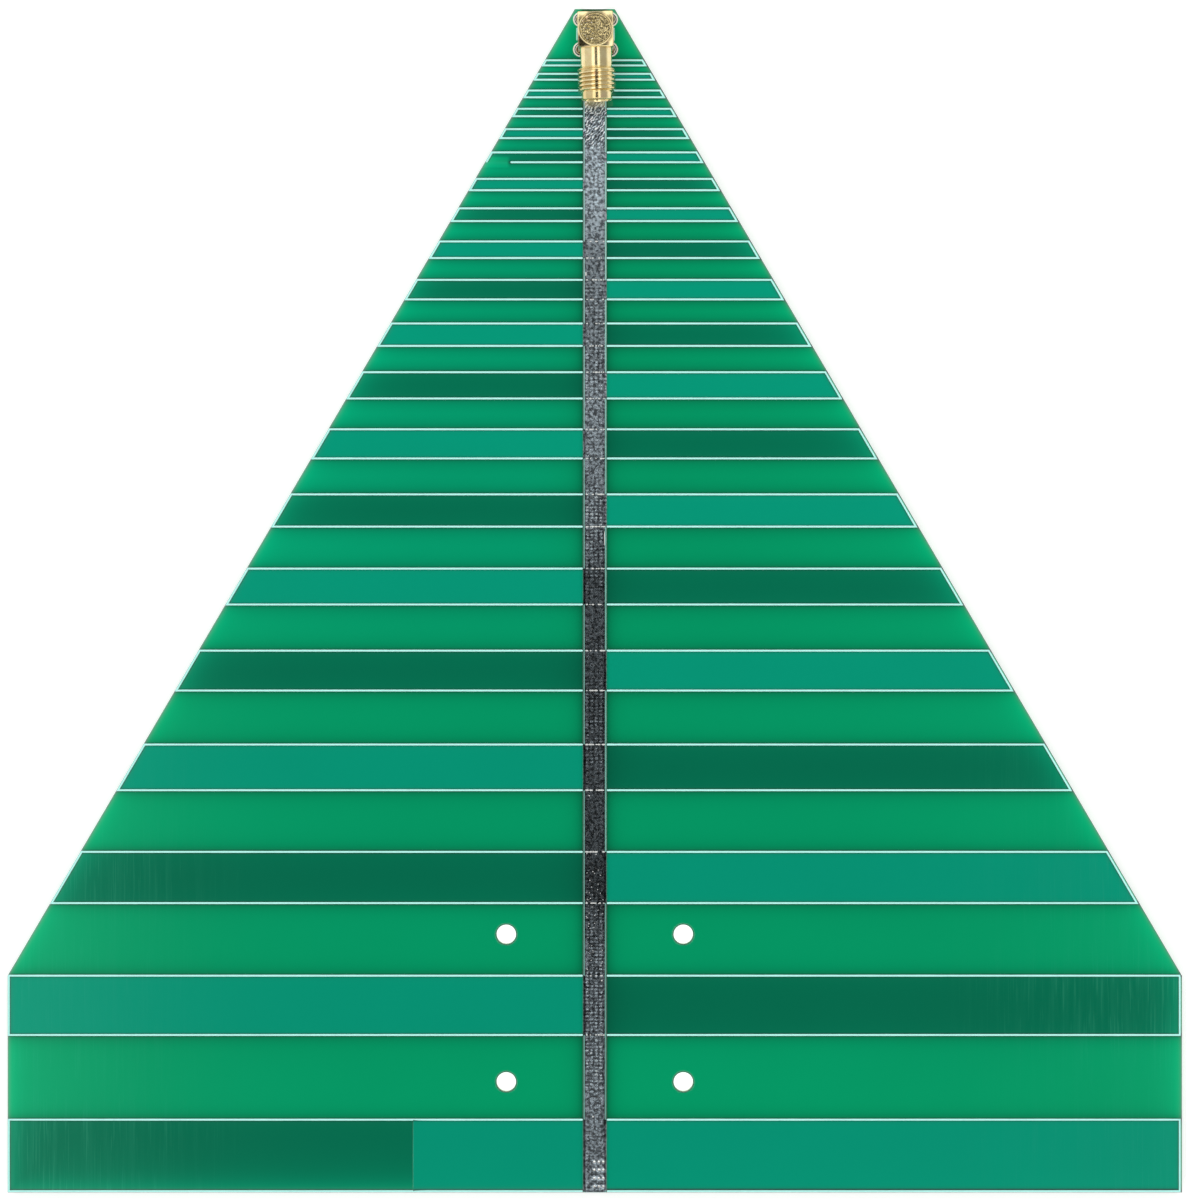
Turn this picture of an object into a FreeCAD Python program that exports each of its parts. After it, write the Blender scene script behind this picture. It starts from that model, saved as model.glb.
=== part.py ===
import FreeCAD, Part
import math
import os

# Flat log-periodic antenna on a two-sided printed board, with a right-angle
# coaxial jack on its narrow end. Millimetres.
# Frame: origin on the laminate's back face at the middle of the four mounting
# holes, +X to the right, +Y towards the narrow end, +Z out of the jack's side.

V = FreeCAD.Vector

# ---------------------------------------------------------------- dimensions
# board outline
HALF_WIDTH = 99.5          # half of the wide end
HALF_APEX = 3.39           # half of the narrow end
Y_APEX = 169.3             # narrow end
Y_SHOULDER = 5.5           # where the slanted sides turn straight
Y_BASE = -31.24            # wide end

# layers
T_LAM = 1.53               # laminate
T_CU = 0.035               # copper foil
T_MASK = 0.055             # lacquer over bare laminate (0.02 over copper)
T_TIN = 0.020              # tin coat on open copper
T_INK = 0.015              # printed legend
Z_CU = T_LAM + T_CU        # front copper's top
Z_MASK = T_LAM + T_MASK    # front lacquer's top
Z_SEAT = T_LAM + T_CU + T_TIN   # 1.585, where the jack stands

# mounting holes, 30 x 25 pattern for M3
HOLE_DX = 30.0
HOLE_DY = 25.0
HOLE_R = 1.65
BARE_RING = 0.20           # the lacquer stops this far from each mounting hole

# boom strip
BOOM_HALF = 1.71           # copper
WINDOW_HALF = 1.97         # opening in the lacquer
WINDOW_TOP = 161.8
FOIL_INSET = 0.30          # copper stops this far inside the board's edge

# elements: top and bottom edge of each of the 20 bands (Y)
ELEMENTS = [
    (160.62, 159.75), (158.32, 157.33), (155.50, 154.35), (152.40, 151.14),
    (148.95, 147.43), (145.01, 143.34), (140.52, 138.60), (135.53, 133.37),
    (129.92, 127.11), (123.41, 120.10), (116.02, 112.22), (107.76, 103.31),
    (98.09, 93.15), (87.06, 81.60), (74.48, 68.40), (60.58, 53.82),
    (44.67, 36.93), (26.48, 17.80), (5.50, -4.55), (-18.90, -31.02),
]
LAST_STUB_X = 30.8         # the last band's foil runs this far past the boom

# printed outline
INK_W = 0.35
INK_SHIFT = -0.11          # the print sits a little to the left
INK_START = 2.03           # lines start this far from the boom's centre
GAP_BAND = 5               # sixth band, left: its lower line stops short
GAP_X = (-17.55, -14.37)

# via holes at the boom's wide end
VIA_X = (-0.08, 0.68, 1.44)
VIA_Y = (-26.02, -27.39, -28.80, -30.20)
VIA_R = 0.20
VIA_WALL = 0.05

# jack: place and turn
JX = 0.12
JY = 165.0
JACK_TURN = 1.3            # degrees about +Z, as it was soldered in
LEG_PITCH = 5.08
LEG_W = 0.88
LEG_TIP = -1.50
LEG_HOLE_R = 0.80
PIN_HOLE_R = 0.65
PLATING = 0.05
LEG_PAD_R = 1.04
PIN_PAD_R = 1.00
ANTIPAD_R = 1.40
PAD_WINDOW_R = 1.20
UNDER_JACK = 2.80          # half of the copper square under the jack

# jack: body
BLOCK = 6.0                # square in plan
BLOCK_TOP = 9.85
LIP_TOP = 10.0
LIP_R = 2.86
CAP_R = 2.64
CAP_SEAT = 9.40
CAP_TOP = 9.95
AXIS_Z = Z_SEAT + 5.0
COLLAR_R = 2.68
THREAD_R = 3.175           # 1/4-36 thread, outside
PILOT_R = 2.62
Y_THREAD0 = -6.50
Y_THREAD1 = -10.35
Y_FRONT = -11.70
MOUTH_R = 2.30
MOUTH_DEPTH = 1.90
BEAD_R = 2.05
CONTACT_R = 0.635
SOCKET_R = 0.47
SOCKET_DEPTH = 2.9
SLOT_W = 0.16
SLOT_LEN = 2.6
TAIL_R = 0.40
PIN_R = 0.635
PIN_TAIL_R = 0.50
PIN_TOP = AXIS_Z + 0.95
BASE_BEAD_TOP = 5.4


# ------------------------------------------------------------------- helpers
def prism(points, z0, z1):
    wire = Part.makePolygon([V(x, y, z0) for x, y in points] + [V(points[0][0], points[0][1], z0)])
    return Part.Face(wire).extrude(V(0, 0, z1 - z0))


def box(x0, x1, y0, y1, z0, z1):
    return Part.makeBox(x1 - x0, y1 - y0, z1 - z0, V(x0, y0, z0))


def post(r, x, y, z0, z1):
    return Part.makeCylinder(r, z1 - z0, V(x, y, z0))


def along_y(r, y0, y1, z=AXIS_Z):
    return Part.makeCylinder(r, y1 - y0, V(0, y0, z), V(0, 1, 0))


def turned(profile, x, y):
    # profile of (radius, z) points turned about the upright line at x, y
    pts = [V(r, 0, z) for r, z in profile]
    face = Part.Face(Part.makePolygon(pts + [pts[0]]))
    s = face.revolve(V(0, 0, 0), V(0, 0, 1), 360)
    s.translate(V(x, y, 0))
    return s


def fuse(parts):
    s = parts[0]
    if len(parts) > 1:
        s = s.multiFuse(parts[1:])
    return s.removeSplitter()


def cut(shape, tools):
    return shape.cut(tools) if tools else shape


def to_jack(shape):
    # from the jack's own frame to the board's
    s = shape.copy()
    s.rotate(V(0, 0, 0), V(0, 0, 1), JACK_TURN)
    s.translate(V(JX, JY, 0))
    return s


def mirrored(points):
    return [(-x, y) for x, y in points]


# -------------------------------------------------------------- board outline
SLOPE = (HALF_WIDTH - HALF_APEX) / (Y_APEX - Y_SHOULDER)
SEC = math.hypot(1.0, SLOPE)


def edge_x(y, inset=0.0):
    # distance from the centre line to the board's side at height y, set in
    return min(HALF_WIDTH - inset, HALF_APEX + (Y_APEX - y) * SLOPE - inset * SEC)


OUTLINE = [
    (-HALF_APEX, Y_APEX), (-HALF_WIDTH, Y_SHOULDER), (-HALF_WIDTH, Y_BASE),
    (HALF_WIDTH, Y_BASE), (HALF_WIDTH, Y_SHOULDER), (HALF_APEX, Y_APEX),
]

mount_xy = [(sx * HOLE_DX / 2, sy * HOLE_DY / 2) for sx in (-1, 1) for sy in (-1, 1)]
leg_xy = [(JX + sx * LEG_PITCH / 2, JY + sy * LEG_PITCH / 2) for sx in (-1, 1) for sy in (-1, 1)]
via_xy = [(x, y) for x in VIA_X for y in VIA_Y]

# ------------------------------------------------------------------ laminate
lam = prism(OUTLINE, 0, T_LAM)
holes = [post(HOLE_R, x, y, -1, 3) for x, y in mount_xy]
holes += [post(LEG_HOLE_R + PLATING, x, y, -1, 3) for x, y in leg_xy]
holes += [post(PIN_HOLE_R + PLATING, JX, JY, -1, 3)]
holes += [post(VIA_R + VIA_WALL, x, y, -1, 3) for x, y in via_xy]
board_laminate = cut(lam, holes)

# -------------------------------------------------------------- plated holes
plated = []
for x, y in leg_xy:
    plated.append(post(LEG_HOLE_R + PLATING, x, y, -T_CU, Z_CU).cut(post(LEG_HOLE_R, x, y, -1, 3)))
plated.append(post(PIN_HOLE_R + PLATING, JX, JY, -T_CU, Z_CU).cut(post(PIN_HOLE_R, JX, JY, -1, 3)))
pin_hole_barrels = Part.makeCompound(plated)
via_barrels = Part.makeCompound(
    [post(VIA_R + VIA_WALL, x, y, -T_CU, Z_CU).cut(post(VIA_R, x, y, -1, 3)) for x, y in via_xy]
)


# -------------------------------------------------------------------- copper
def arm(index, side):
    # one element's outline from the boom's middle to just inside the side
    top, bottom = ELEMENTS[index]
    bottom = max(bottom, Y_BASE + FOIL_INSET)
    pts = [(0, top), (edge_x(top, FOIL_INSET), top)]
    if top > Y_SHOULDER > bottom:
        pts.append((HALF_WIDTH - FOIL_INSET, Y_SHOULDER))
    pts += [(edge_x(bottom, FOIL_INSET), bottom), (0, bottom)]
    return pts if side > 0 else mirrored(pts)


def foil(front):
    z0, z1 = (T_LAM, Z_CU) if front else (-T_CU, 0)
    base = Y_BASE + 0.05
    # odd bands go left on the front, and right on the back
    flip = 1 if front else -1
    parts = []
    for i in range(len(ELEMENTS)):
        side = -flip if i % 2 == 0 else flip
        parts.append(prism(arm(i, side), z0, z1))
    top, bottom = ELEMENTS[-1]
    parts.append(box(min(0, -flip * LAST_STUB_X), max(0, -flip * LAST_STUB_X),
                     max(bottom, Y_BASE + FOIL_INSET), top, z0, z1))
    if front:
        parts.append(box(-BOOM_HALF, BOOM_HALF, base, JY - UNDER_JACK + 0.5, z0, z1))
        parts.append(box(JX - UNDER_JACK, JX + UNDER_JACK, JY - UNDER_JACK, JY + UNDER_JACK, z0, z1))
        parts += [post(LEG_PAD_R, x, y, z0, z1) for x, y in leg_xy]
        main = fuse(parts).cut(post(ANTIPAD_R, JX, JY, -1, 3))
        islands = [post(PIN_PAD_R, JX, JY, z0, z1)]
    else:
        parts.append(box(-BOOM_HALF, BOOM_HALF, base, 161.0, z0, z1))
        parts.append(box(JX - 0.95, JX + 0.95, 160.0, JY, z0, z1))
        parts.append(post(PIN_PAD_R, JX, JY, z0, z1))
        main = fuse(parts)
        islands = [post(LEG_PAD_R, x, y, z0, z1) for x, y in leg_xy]
    drill = [post(LEG_HOLE_R + PLATING, x, y, -1, 3) for x, y in leg_xy]
    drill += [post(PIN_HOLE_R + PLATING, JX, JY, -1, 3)]
    drill += [post(VIA_R + VIA_WALL, x, y, -1, 3) for x, y in via_xy]
    solids = list(main.cut(drill).Solids)
    for s in islands:
        solids += list(s.cut(drill).Solids)
    return Part.makeCompound(solids) if len(solids) > 1 else solids[0]


front_copper_foil = foil(True)
back_copper_foil = foil(False)


# --------------------------------------------------- lacquer and tin coating
def windows(front):
    w = [box(-WINDOW_HALF, WINDOW_HALF, Y_BASE - 1, WINDOW_TOP if front else 160.8, -1, 3)]
    w += [post(PAD_WINDOW_R, x, y, -1, 3) for x, y in leg_xy]
    w.append(post(PIN_PAD_R + 0.12, JX, JY, -1, 3))
    return w


def lacquer(front):
    z0, z1 = (T_LAM, Z_MASK) if front else (-T_MASK, 0)
    s = prism(OUTLINE, z0, z1)
    tools = [post(HOLE_R + BARE_RING, x, y, -1, 3) for x, y in mount_xy] + windows(front)
    tools += list((front_copper_foil if front else back_copper_foil).Solids)
    s = s.cut(tools)
    solids = [k for k in s.Solids if k.Volume > 1e-4]
    return Part.makeCompound(solids) if len(solids) > 1 else solids[0]


front_solder_mask = lacquer(True)
back_solder_mask = lacquer(False)


def tinning(front):
    z0, z1 = (Z_CU, Z_SEAT) if front else (-T_CU - T_TIN, -T_CU)
    src = front_copper_foil if front else back_copper_foil
    main = max(src.Solids, key=lambda k: k.Volume)
    top = 161.2 if front else 160.6
    flat = main.common(box(-WINDOW_HALF, WINDOW_HALF, Y_BASE - 1, top, -1, 3))
    # the coat has the open copper's outline, and the same small holes
    face = [f for f in flat.Faces if abs(f.normalAt(0, 0).z) > 0.9]
    face = max(face, key=lambda f: f.CenterOfMass.z if front else -f.CenterOfMass.z)
    s = face.extrude(V(0, 0, T_TIN if front else -T_TIN))
    drill = [post(VIA_R, x, y, -1, 3) for x, y in via_xy]
    ring = [post(VIA_R + VIA_WALL, x, y, z0, z1) for x, y in via_xy]
    s = fuse([s] + ring).cut(drill)
    return s.Solids[0] if len(s.Solids) == 1 else Part.makeCompound(s.Solids)


front_boom_tinning = tinning(True)
back_boom_tinning = tinning(False)


# -------------------------------------------------------------- white legend
def ink_band(index, side):
    top, bottom = ELEMENTS[index]
    h = INK_W / 2
    if side > 0:
        mid = 0.30 - INK_SHIFT * 0.6           # closing line, in from the edge
        x_out = lambda y: edge_x(y, mid - h)
        x_in = lambda y: edge_x(y, mid + h)
    else:
        mid = 0.15
        x_out = lambda y: edge_x(y, 0.02)
        x_in = lambda y: edge_x(y, mid + h)
    t1, t0, b1, b0 = top + h, top - h, bottom + h, bottom - h
    b0 = max(b0, Y_BASE + 0.03)
    outer = [(INK_START, t1), (x_out(t1), t1)]
    if t1 > Y_SHOULDER > b0:
        outer.append((x_out(Y_SHOULDER - 0.2), Y_SHOULDER - 0.2))
    outer += [(x_out(b0), b0), (INK_START, b0)]
    inner = [(INK_START, b1), (x_in(b1), b1)]
    if t0 > Y_SHOULDER > b1:
        inner.append((x_in(Y_SHOULDER - 0.2), Y_SHOULDER - 0.2))
    inner += [(x_in(t0), t0), (INK_START, t0)]
    pts = outer + inner
    if side < 0:
        pts = mirrored(pts)
    s = prism(pts, Z_MASK, Z_MASK + T_INK)
    if index == GAP_BAND and side < 0:
        s = s.cut(box(GAP_X[0], GAP_X[1], bottom - 0.5, bottom + 0.5, 1, 3))
        s = s.fuse(post(h, GAP_X[1], bottom, Z_MASK, Z_MASK + T_INK)).removeSplitter()
    return s


ink = []
for i in range(len(ELEMENTS)):
    for side in (-1, 1):
        ink += list(ink_band(i, side).Solids)
for side in (-1, 1):
    x = JX + side * 3.143
    ink.append(box(x - 0.1, x + 0.1, JY + 0.05 - 1.08, JY + 0.05 + 1.08, Z_MASK, Z_MASK + T_INK))
front_legend_ink = Part.makeCompound(ink)

# ------------------------------------------------------------------ the jack
half = BLOCK / 2
block = box(-half, half, -half, half, Z_SEAT, BLOCK_TOP)
upright = [e for e in block.Edges if abs(e.tangentAt(e.FirstParameter).z) > 0.9]
block = block.makeChamfer(0.18, upright)
rim = post(LIP_R, 0, 0, BLOCK_TOP - 0.2, LIP_TOP)
barrel = [
    along_y(COLLAR_R, Y_THREAD0 - 0.1, 0),
    along_y(THREAD_R, Y_THREAD1, Y_THREAD0),
    along_y(PILOT_R, Y_FRONT, Y_THREAD1 + 0.1),
]
legs = []
for sx in (-1, 1):
    for sy in (-1, 1):
        x, y = sx * LEG_PITCH / 2, sy * LEG_PITCH / 2
        leg = box(x - LEG_W / 2, x + LEG_W / 2, y - LEG_W / 2, y + LEG_W / 2, LEG_TIP, Z_SEAT + 0.5)
        tip = [e for e in leg.Edges if abs(e.CenterOfMass.z - LEG_TIP) < 1e-6]
        legs.append(leg.makeChamfer(0.16, tip))
solid = fuse([block, rim] + barrel + legs)
solid = solid.cut([
    post(BEAD_R, 0, 0, Z_SEAT - 1 + 1, CAP_SEAT),
    post(CAP_R, 0, 0, CAP_SEAT, LIP_TOP + 1),
    along_y(BEAD_R, Y_FRONT + MOUTH_DEPTH, 0),
    along_y(MOUTH_R, Y_FRONT - 1, Y_FRONT + MOUTH_DEPTH),
])
rims = []
for e in solid.Edges:
    c = e.Curve
    if isinstance(c, Part.Circle) and abs(e.CenterOfMass.y - Y_FRONT) < 1e-6 and len(e.Vertexes) == 1:
        rims.append(e)
for e in solid.Edges:
    if isinstance(e.Curve, Part.Circle) and abs(e.Curve.Radius - THREAD_R) < 1e-6:
        if abs(e.Curve.Center.y - Y_THREAD1) < 1e-6 or abs(e.Curve.Center.y - Y_THREAD0) < 1e-6:
            rims.append(e)
solid = solid.makeChamfer(0.15, rims)
sma_body = to_jack(solid)

cap = post(CAP_R, 0, 0, CAP_SEAT, CAP_TOP)
cap = cap.makeChamfer(0.08, [e for e in cap.Edges if isinstance(e.Curve, Part.Circle)
                             and abs(e.Curve.Center.z - CAP_TOP) < 1e-6])
sma_cap = to_jack(cap)

bead = along_y(BEAD_R, Y_FRONT + MOUTH_DEPTH, -BEAD_R - 0.01).cut(along_y(CONTACT_R, Y_FRONT, 1))
sma_barrel_insulator = to_jack(bead)
base_bead = post(BEAD_R, 0, 0, Z_SEAT, BASE_BEAD_TOP).cut(post(PIN_R, 0, 0, 0, 9))
sma_base_insulator = to_jack(base_bead)

y_tip = Y_FRONT + MOUTH_DEPTH + 0.05
contact = along_y(CONTACT_R, y_tip, -PIN_R).fuse(along_y(TAIL_R, -PIN_R - 0.1, 0.85)).removeSplitter()
# the shank's end is hollowed to the upright pin's round
contact = contact.cut(post(PIN_R, 0, 0, 0, 9).cut(along_y(TAIL_R, -2, 2)))
contact = contact.cut([
    along_y(SOCKET_R, y_tip - 1, y_tip + SOCKET_DEPTH),
    box(-SLOT_W / 2, SLOT_W / 2, y_tip - 1, y_tip + SLOT_LEN, AXIS_Z - 2, AXIS_Z + 2),
    box(-2, 2, y_tip - 1, y_tip + SLOT_LEN, AXIS_Z - SLOT_W / 2, AXIS_Z + SLOT_W / 2),
])
sma_socket_contact = to_jack(contact)

pin = post(PIN_R, 0, 0, Z_SEAT, PIN_TOP).fuse(post(PIN_TAIL_R, 0, 0, LEG_TIP, Z_SEAT + 0.1)).removeSplitter()
pin = pin.makeChamfer(0.12, [e for e in pin.Edges if isinstance(e.Curve, Part.Circle)
                             and (abs(e.Curve.Center.z - LEG_TIP) < 1e-6 or abs(e.Curve.Center.z - PIN_TOP) < 1e-6)])
pin = pin.cut(along_y(TAIL_R, -2, 2))
sma_feed_pin = to_jack(pin)

# -------------------------------------------------------------------- solder
joints = []
for x, y in leg_xy:
    s = turned([(0, Z_SEAT), (LEG_PAD_R - 0.04, Z_SEAT), (LEG_PAD_R, Z_CU), (LEG_HOLE_R, Z_CU),
                (LEG_HOLE_R, -T_CU), (LEG_PAD_R, -T_CU), (LEG_PAD_R - 0.10, -0.20),
                (0.80, -0.55), (0.70, -0.95), (0, -0.95)], x, y)
    joints += [k for k in s.cut(sma_body).Solids if k.Volume > 1e-3]
ground_solder_joints = Part.makeCompound(joints)
feed = turned([(0, Z_CU), (PIN_HOLE_R, Z_CU), (PIN_HOLE_R, -T_CU), (PIN_PAD_R, -T_CU),
               (PIN_PAD_R - 0.10, -0.20), (0.72, -0.60), (0.60, -1.10), (0, -1.10)], JX, JY)
feed = feed.cut(sma_feed_pin)
feed_solder_joint = max(feed.Solids, key=lambda k: k.Volume)

# ---------------------------------------------------------------------- write
NODES = {
    "board_laminate": board_laminate,
    "front_copper_foil": front_copper_foil,
    "back_copper_foil": back_copper_foil,
    "front_solder_mask": front_solder_mask,
    "back_solder_mask": back_solder_mask,
    "front_legend_ink": front_legend_ink,
    "front_boom_tinning": front_boom_tinning,
    "back_boom_tinning": back_boom_tinning,
    "via_barrels": via_barrels,
    "pin_hole_barrels": pin_hole_barrels,
    "sma_body": sma_body,
    "sma_cap": sma_cap,
    "sma_barrel_insulator": sma_barrel_insulator,
    "sma_base_insulator": sma_base_insulator,
    "sma_socket_contact": sma_socket_contact,
    "sma_feed_pin": sma_feed_pin,
    "ground_solder_joints": ground_solder_joints,
    "feed_solder_joint": feed_solder_joint,
}

os.makedirs("parts", exist_ok=True)
for name, shape in NODES.items():
    shape.exportStep("parts/%s.step" % name)
    b = shape.BoundBox
    print("%-22s solids %2d  volume %10.3f  valid %s  x %.2f..%.2f y %.2f..%.2f z %.3f..%.3f" % (
        name, len(shape.Solids), shape.Volume, shape.isValid(),
        b.XMin, b.XMax, b.YMin, b.YMax, b.ZMin, b.ZMax))
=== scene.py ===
import math

import bpy
import numpy as np
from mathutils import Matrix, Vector, noise
from mathutils.geometry import delaunay_2d_cdt


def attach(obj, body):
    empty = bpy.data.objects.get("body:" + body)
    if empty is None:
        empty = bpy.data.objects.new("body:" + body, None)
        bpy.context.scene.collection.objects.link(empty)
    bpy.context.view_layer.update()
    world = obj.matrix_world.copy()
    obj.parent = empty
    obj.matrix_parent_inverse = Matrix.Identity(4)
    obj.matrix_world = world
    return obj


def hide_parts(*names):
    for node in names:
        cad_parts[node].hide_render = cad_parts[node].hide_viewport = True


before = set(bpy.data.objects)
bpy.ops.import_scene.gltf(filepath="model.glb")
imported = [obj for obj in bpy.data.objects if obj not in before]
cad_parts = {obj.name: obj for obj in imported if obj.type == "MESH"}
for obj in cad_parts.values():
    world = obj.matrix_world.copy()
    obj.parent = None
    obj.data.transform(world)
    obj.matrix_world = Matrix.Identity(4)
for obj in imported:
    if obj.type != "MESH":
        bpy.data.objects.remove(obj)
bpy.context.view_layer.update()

MM = 0.001

# ------------------------------------------------------------------ dimensions
# Millimetres, in the frame's own axes, the same values as the solids have.
HALF_WIDTH, HALF_APEX = 99.5, 3.39
Y_APEX, Y_SHOULDER, Y_BASE = 169.3, 5.5, -31.24
SLOPE = (HALF_WIDTH - HALF_APEX) / (Y_APEX - Y_SHOULDER)
SEC = math.hypot(1.0, SLOPE)
T_LAM, T_CU = 1.53, 0.035
Z_CU, Z_SEAT = 1.565, 1.585
BOOM_HALF, WINDOW_HALF = 1.71, 1.97
INSET = 0.30
LAST_STUB = 30.8
ELEMENTS = [
    (160.62, 159.75), (158.32, 157.33), (155.50, 154.35), (152.40, 151.14),
    (148.95, 147.43), (145.01, 143.34), (140.52, 138.60), (135.53, 133.37),
    (129.92, 127.11), (123.41, 120.10), (116.02, 112.22), (107.76, 103.31),
    (98.09, 93.15), (87.06, 81.60), (74.48, 68.40), (60.58, 53.82),
    (44.67, 36.93), (26.48, 17.80), (5.50, -4.55), (-18.90, -31.02),
]
JX, JY, JACK_TURN = 0.12, 165.0, math.radians(1.3)
LEG = 2.54
AXIS_Z = Z_SEAT + 5.0
VIAS = [(x, y) for x in (-0.08, 0.68, 1.44) for y in (-26.02, -27.39, -28.80, -30.20)]
HOLES = [(sx * 15.0, sy * 12.5) for sx in (-1, 1) for sy in (-1, 1)]
LEGS = [(JX + sx * LEG, JY + sy * LEG) for sx in (-1, 1) for sy in (-1, 1)]


def edge_x(y, inset=0.0):
    return np.minimum(HALF_WIDTH - inset, HALF_APEX + (Y_APEX - y) * SLOPE - inset * SEC)


def inset_outline(d):
    top_x = HALF_APEX + d * SLOPE - d * SEC
    y_s = Y_APEX - (HALF_WIDTH - d - HALF_APEX + d * SEC) / SLOPE
    w = HALF_WIDTH - d
    return [(-top_x, Y_APEX - d), (-w, y_s), (-w, Y_BASE + d), (w, Y_BASE + d), (w, y_s), (top_x, Y_APEX - d)]


def on_foil(x, y, flip, grow=0.0):
    """Where the front foil (flip 1) or the back one (flip -1) lies. x and y are arrays."""
    x, y = np.asarray(x, float), np.asarray(y, float)
    top = 162.7 if flip > 0 else 161.0
    hit = (np.abs(x) < BOOM_HALF + grow) & (y < top) & (y > Y_BASE + 0.05)
    reach = edge_x(y, INSET - grow)
    for i, (t, b) in enumerate(ELEMENTS):
        b = max(b, Y_BASE + INSET)
        side = -flip if i % 2 == 0 else flip
        hit |= (y < t + grow) & (y > b - grow) & (x * side > -0.001) & (np.abs(x) < reach)
    t, b = ELEMENTS[-1]
    hit |= (y < t + grow) & (y > b - grow) & (x * -flip > 0) & (np.abs(x) < LAST_STUB + grow)
    if flip > 0:
        hit |= (np.abs(x - JX) < 2.8 + grow) & (np.abs(y - JY) < 2.8 + grow)
    else:
        hit |= (np.abs(x - JX) < 0.95 + grow) & (y > 160.0) & (y < JY)
    return hit


# ---------------------------------------------------------------- mesh helpers
def add_mesh(name, verts, faces, mats, face_mat=None, smooth=None, attrs=None, sharp=None):
    me = bpy.data.meshes.new(name)
    me.from_pydata([tuple(v) for v in np.asarray(verts, float) * MM], [], [tuple(int(i) for i in f) for f in faces])
    me.validate()
    for m in mats:
        me.materials.append(m)
    if face_mat is not None:
        me.polygons.foreach_set("material_index", np.asarray(face_mat, np.int32))
    if attrs:
        for key, values in attrs.items():
            a = me.attributes.new(key, "FLOAT", "POINT")
            a.data.foreach_set("value", np.asarray(values, np.float32))
    if smooth:
        me.polygons.foreach_set("use_smooth", np.ones(len(me.polygons), bool))
        if sharp is not None:
            me.set_sharp_from_angle(angle=math.radians(sharp))
    me.update()
    ob = bpy.data.objects.new(name, me)
    bpy.context.scene.collection.objects.link(ob)
    return ob


class Build:
    """Gathers several closed shells into one mesh."""

    def __init__(self):
        self.v, self.f, self.m = [], [], []

    def add(self, verts, faces, mat=0):
        n = sum(len(a) for a in self.v)
        self.v.append(np.asarray(verts, float))
        self.f += [tuple(i + n for i in f) for f in faces]
        self.m += [mat] * len(faces)

    def done(self, name, mats, **kw):
        return add_mesh(name, np.vstack(self.v), self.f, mats, self.m, **kw)


def to_jack(verts):
    v = np.asarray(verts, float).copy()
    c, s = math.cos(JACK_TURN), math.sin(JACK_TURN)
    x, y = v[:, 0] * c - v[:, 1] * s + JX, v[:, 0] * s + v[:, 1] * c + JY
    return np.column_stack([x, y, v[:, 2]])


def lathe(profile, n=48, closed=False, wobble=None):
    """(radius, z) points turned about Z. A first or last radius of 0 makes a pole; closed joins the profile's ends."""
    verts, rings, faces = [], [], []
    for k, (r, z) in enumerate(profile):
        if r < 1e-6:
            rings.append([len(verts)])
            verts.append((0, 0, z))
        else:
            rings.append(list(range(len(verts), len(verts) + n)))
            for i in range(n):
                a = 2 * math.pi * i / n
                rr, zz = (r, z) if wobble is None else wobble(r, z, a)
                verts.append((rr * math.cos(a), rr * math.sin(a), zz))
    pairs = list(zip(rings, rings[1:]))
    if closed:
        pairs.append((rings[-1], rings[0]))
    for a, b in pairs:
        for i in range(n):
            j = (i + 1) % n
            if len(a) == 1 and len(b) == 1:
                continue
            if len(a) == 1:
                faces.append((a[0], b[i], b[j]))
            elif len(b) == 1:
                faces.append((a[i], b[0], a[j]))
            else:
                faces.append((a[i], b[i], b[j], a[j]))
    return verts, faces


def outward(verts, faces):
    """Turns the faces of a closed shell to point outwards."""
    v = np.asarray(verts, float)
    vol = 0.0
    for f in faces:
        a = v[f[0]]
        for i in range(1, len(f) - 1):
            vol += np.dot(a, np.cross(v[f[i]], v[f[i + 1]]))
    return faces if vol > 0 else [tuple(reversed(f)) for f in faces]


def rounded_rings(levels, n_corner=5, n_side=5):
    """A closed shell through rounded squares. levels are (half size, corner radius, z)."""
    verts, rings = [], []
    for h, r, z in levels:
        ring = []
        for q in range(4):
            a0 = q * math.pi / 2
            cx = (h - r) * (1 if q in (0, 3) else -1)
            cy = (h - r) * (1 if q in (0, 1) else -1)
            for i in range(n_corner + 1):
                a = a0 + math.pi / 2 * i / n_corner
                ring.append((cx + r * math.cos(a), cy + r * math.sin(a)))
            nx, ny = [(-1, 1), (-1, -1), (1, -1), (1, 1)][q]
            end = ring[-1]
            nxt = (nx * (h - r) if q % 2 == 0 else nx * h, ny * h if q % 2 == 0 else ny * (h - r))
            nxt = [(-(h - r), h), (-h, -(h - r)), (h - r, -h), (h, h - r)][q]
            for i in range(1, n_side):
                t = i / n_side
                ring.append((end[0] + (nxt[0] - end[0]) * t, end[1] + (nxt[1] - end[1]) * t))
        rings.append(range(len(verts), len(verts) + len(ring)))
        verts += [(x, y, z) for x, y in ring]
    faces = []
    for a, b in zip(rings, rings[1:]):
        n = len(a)
        for i in range(n):
            j = (i + 1) % n
            faces.append((a[i], a[j], b[j], b[i]))
    faces.append(tuple(reversed(rings[0])))
    faces.append(tuple(rings[-1]))
    return verts, outward(verts, faces)


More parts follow.
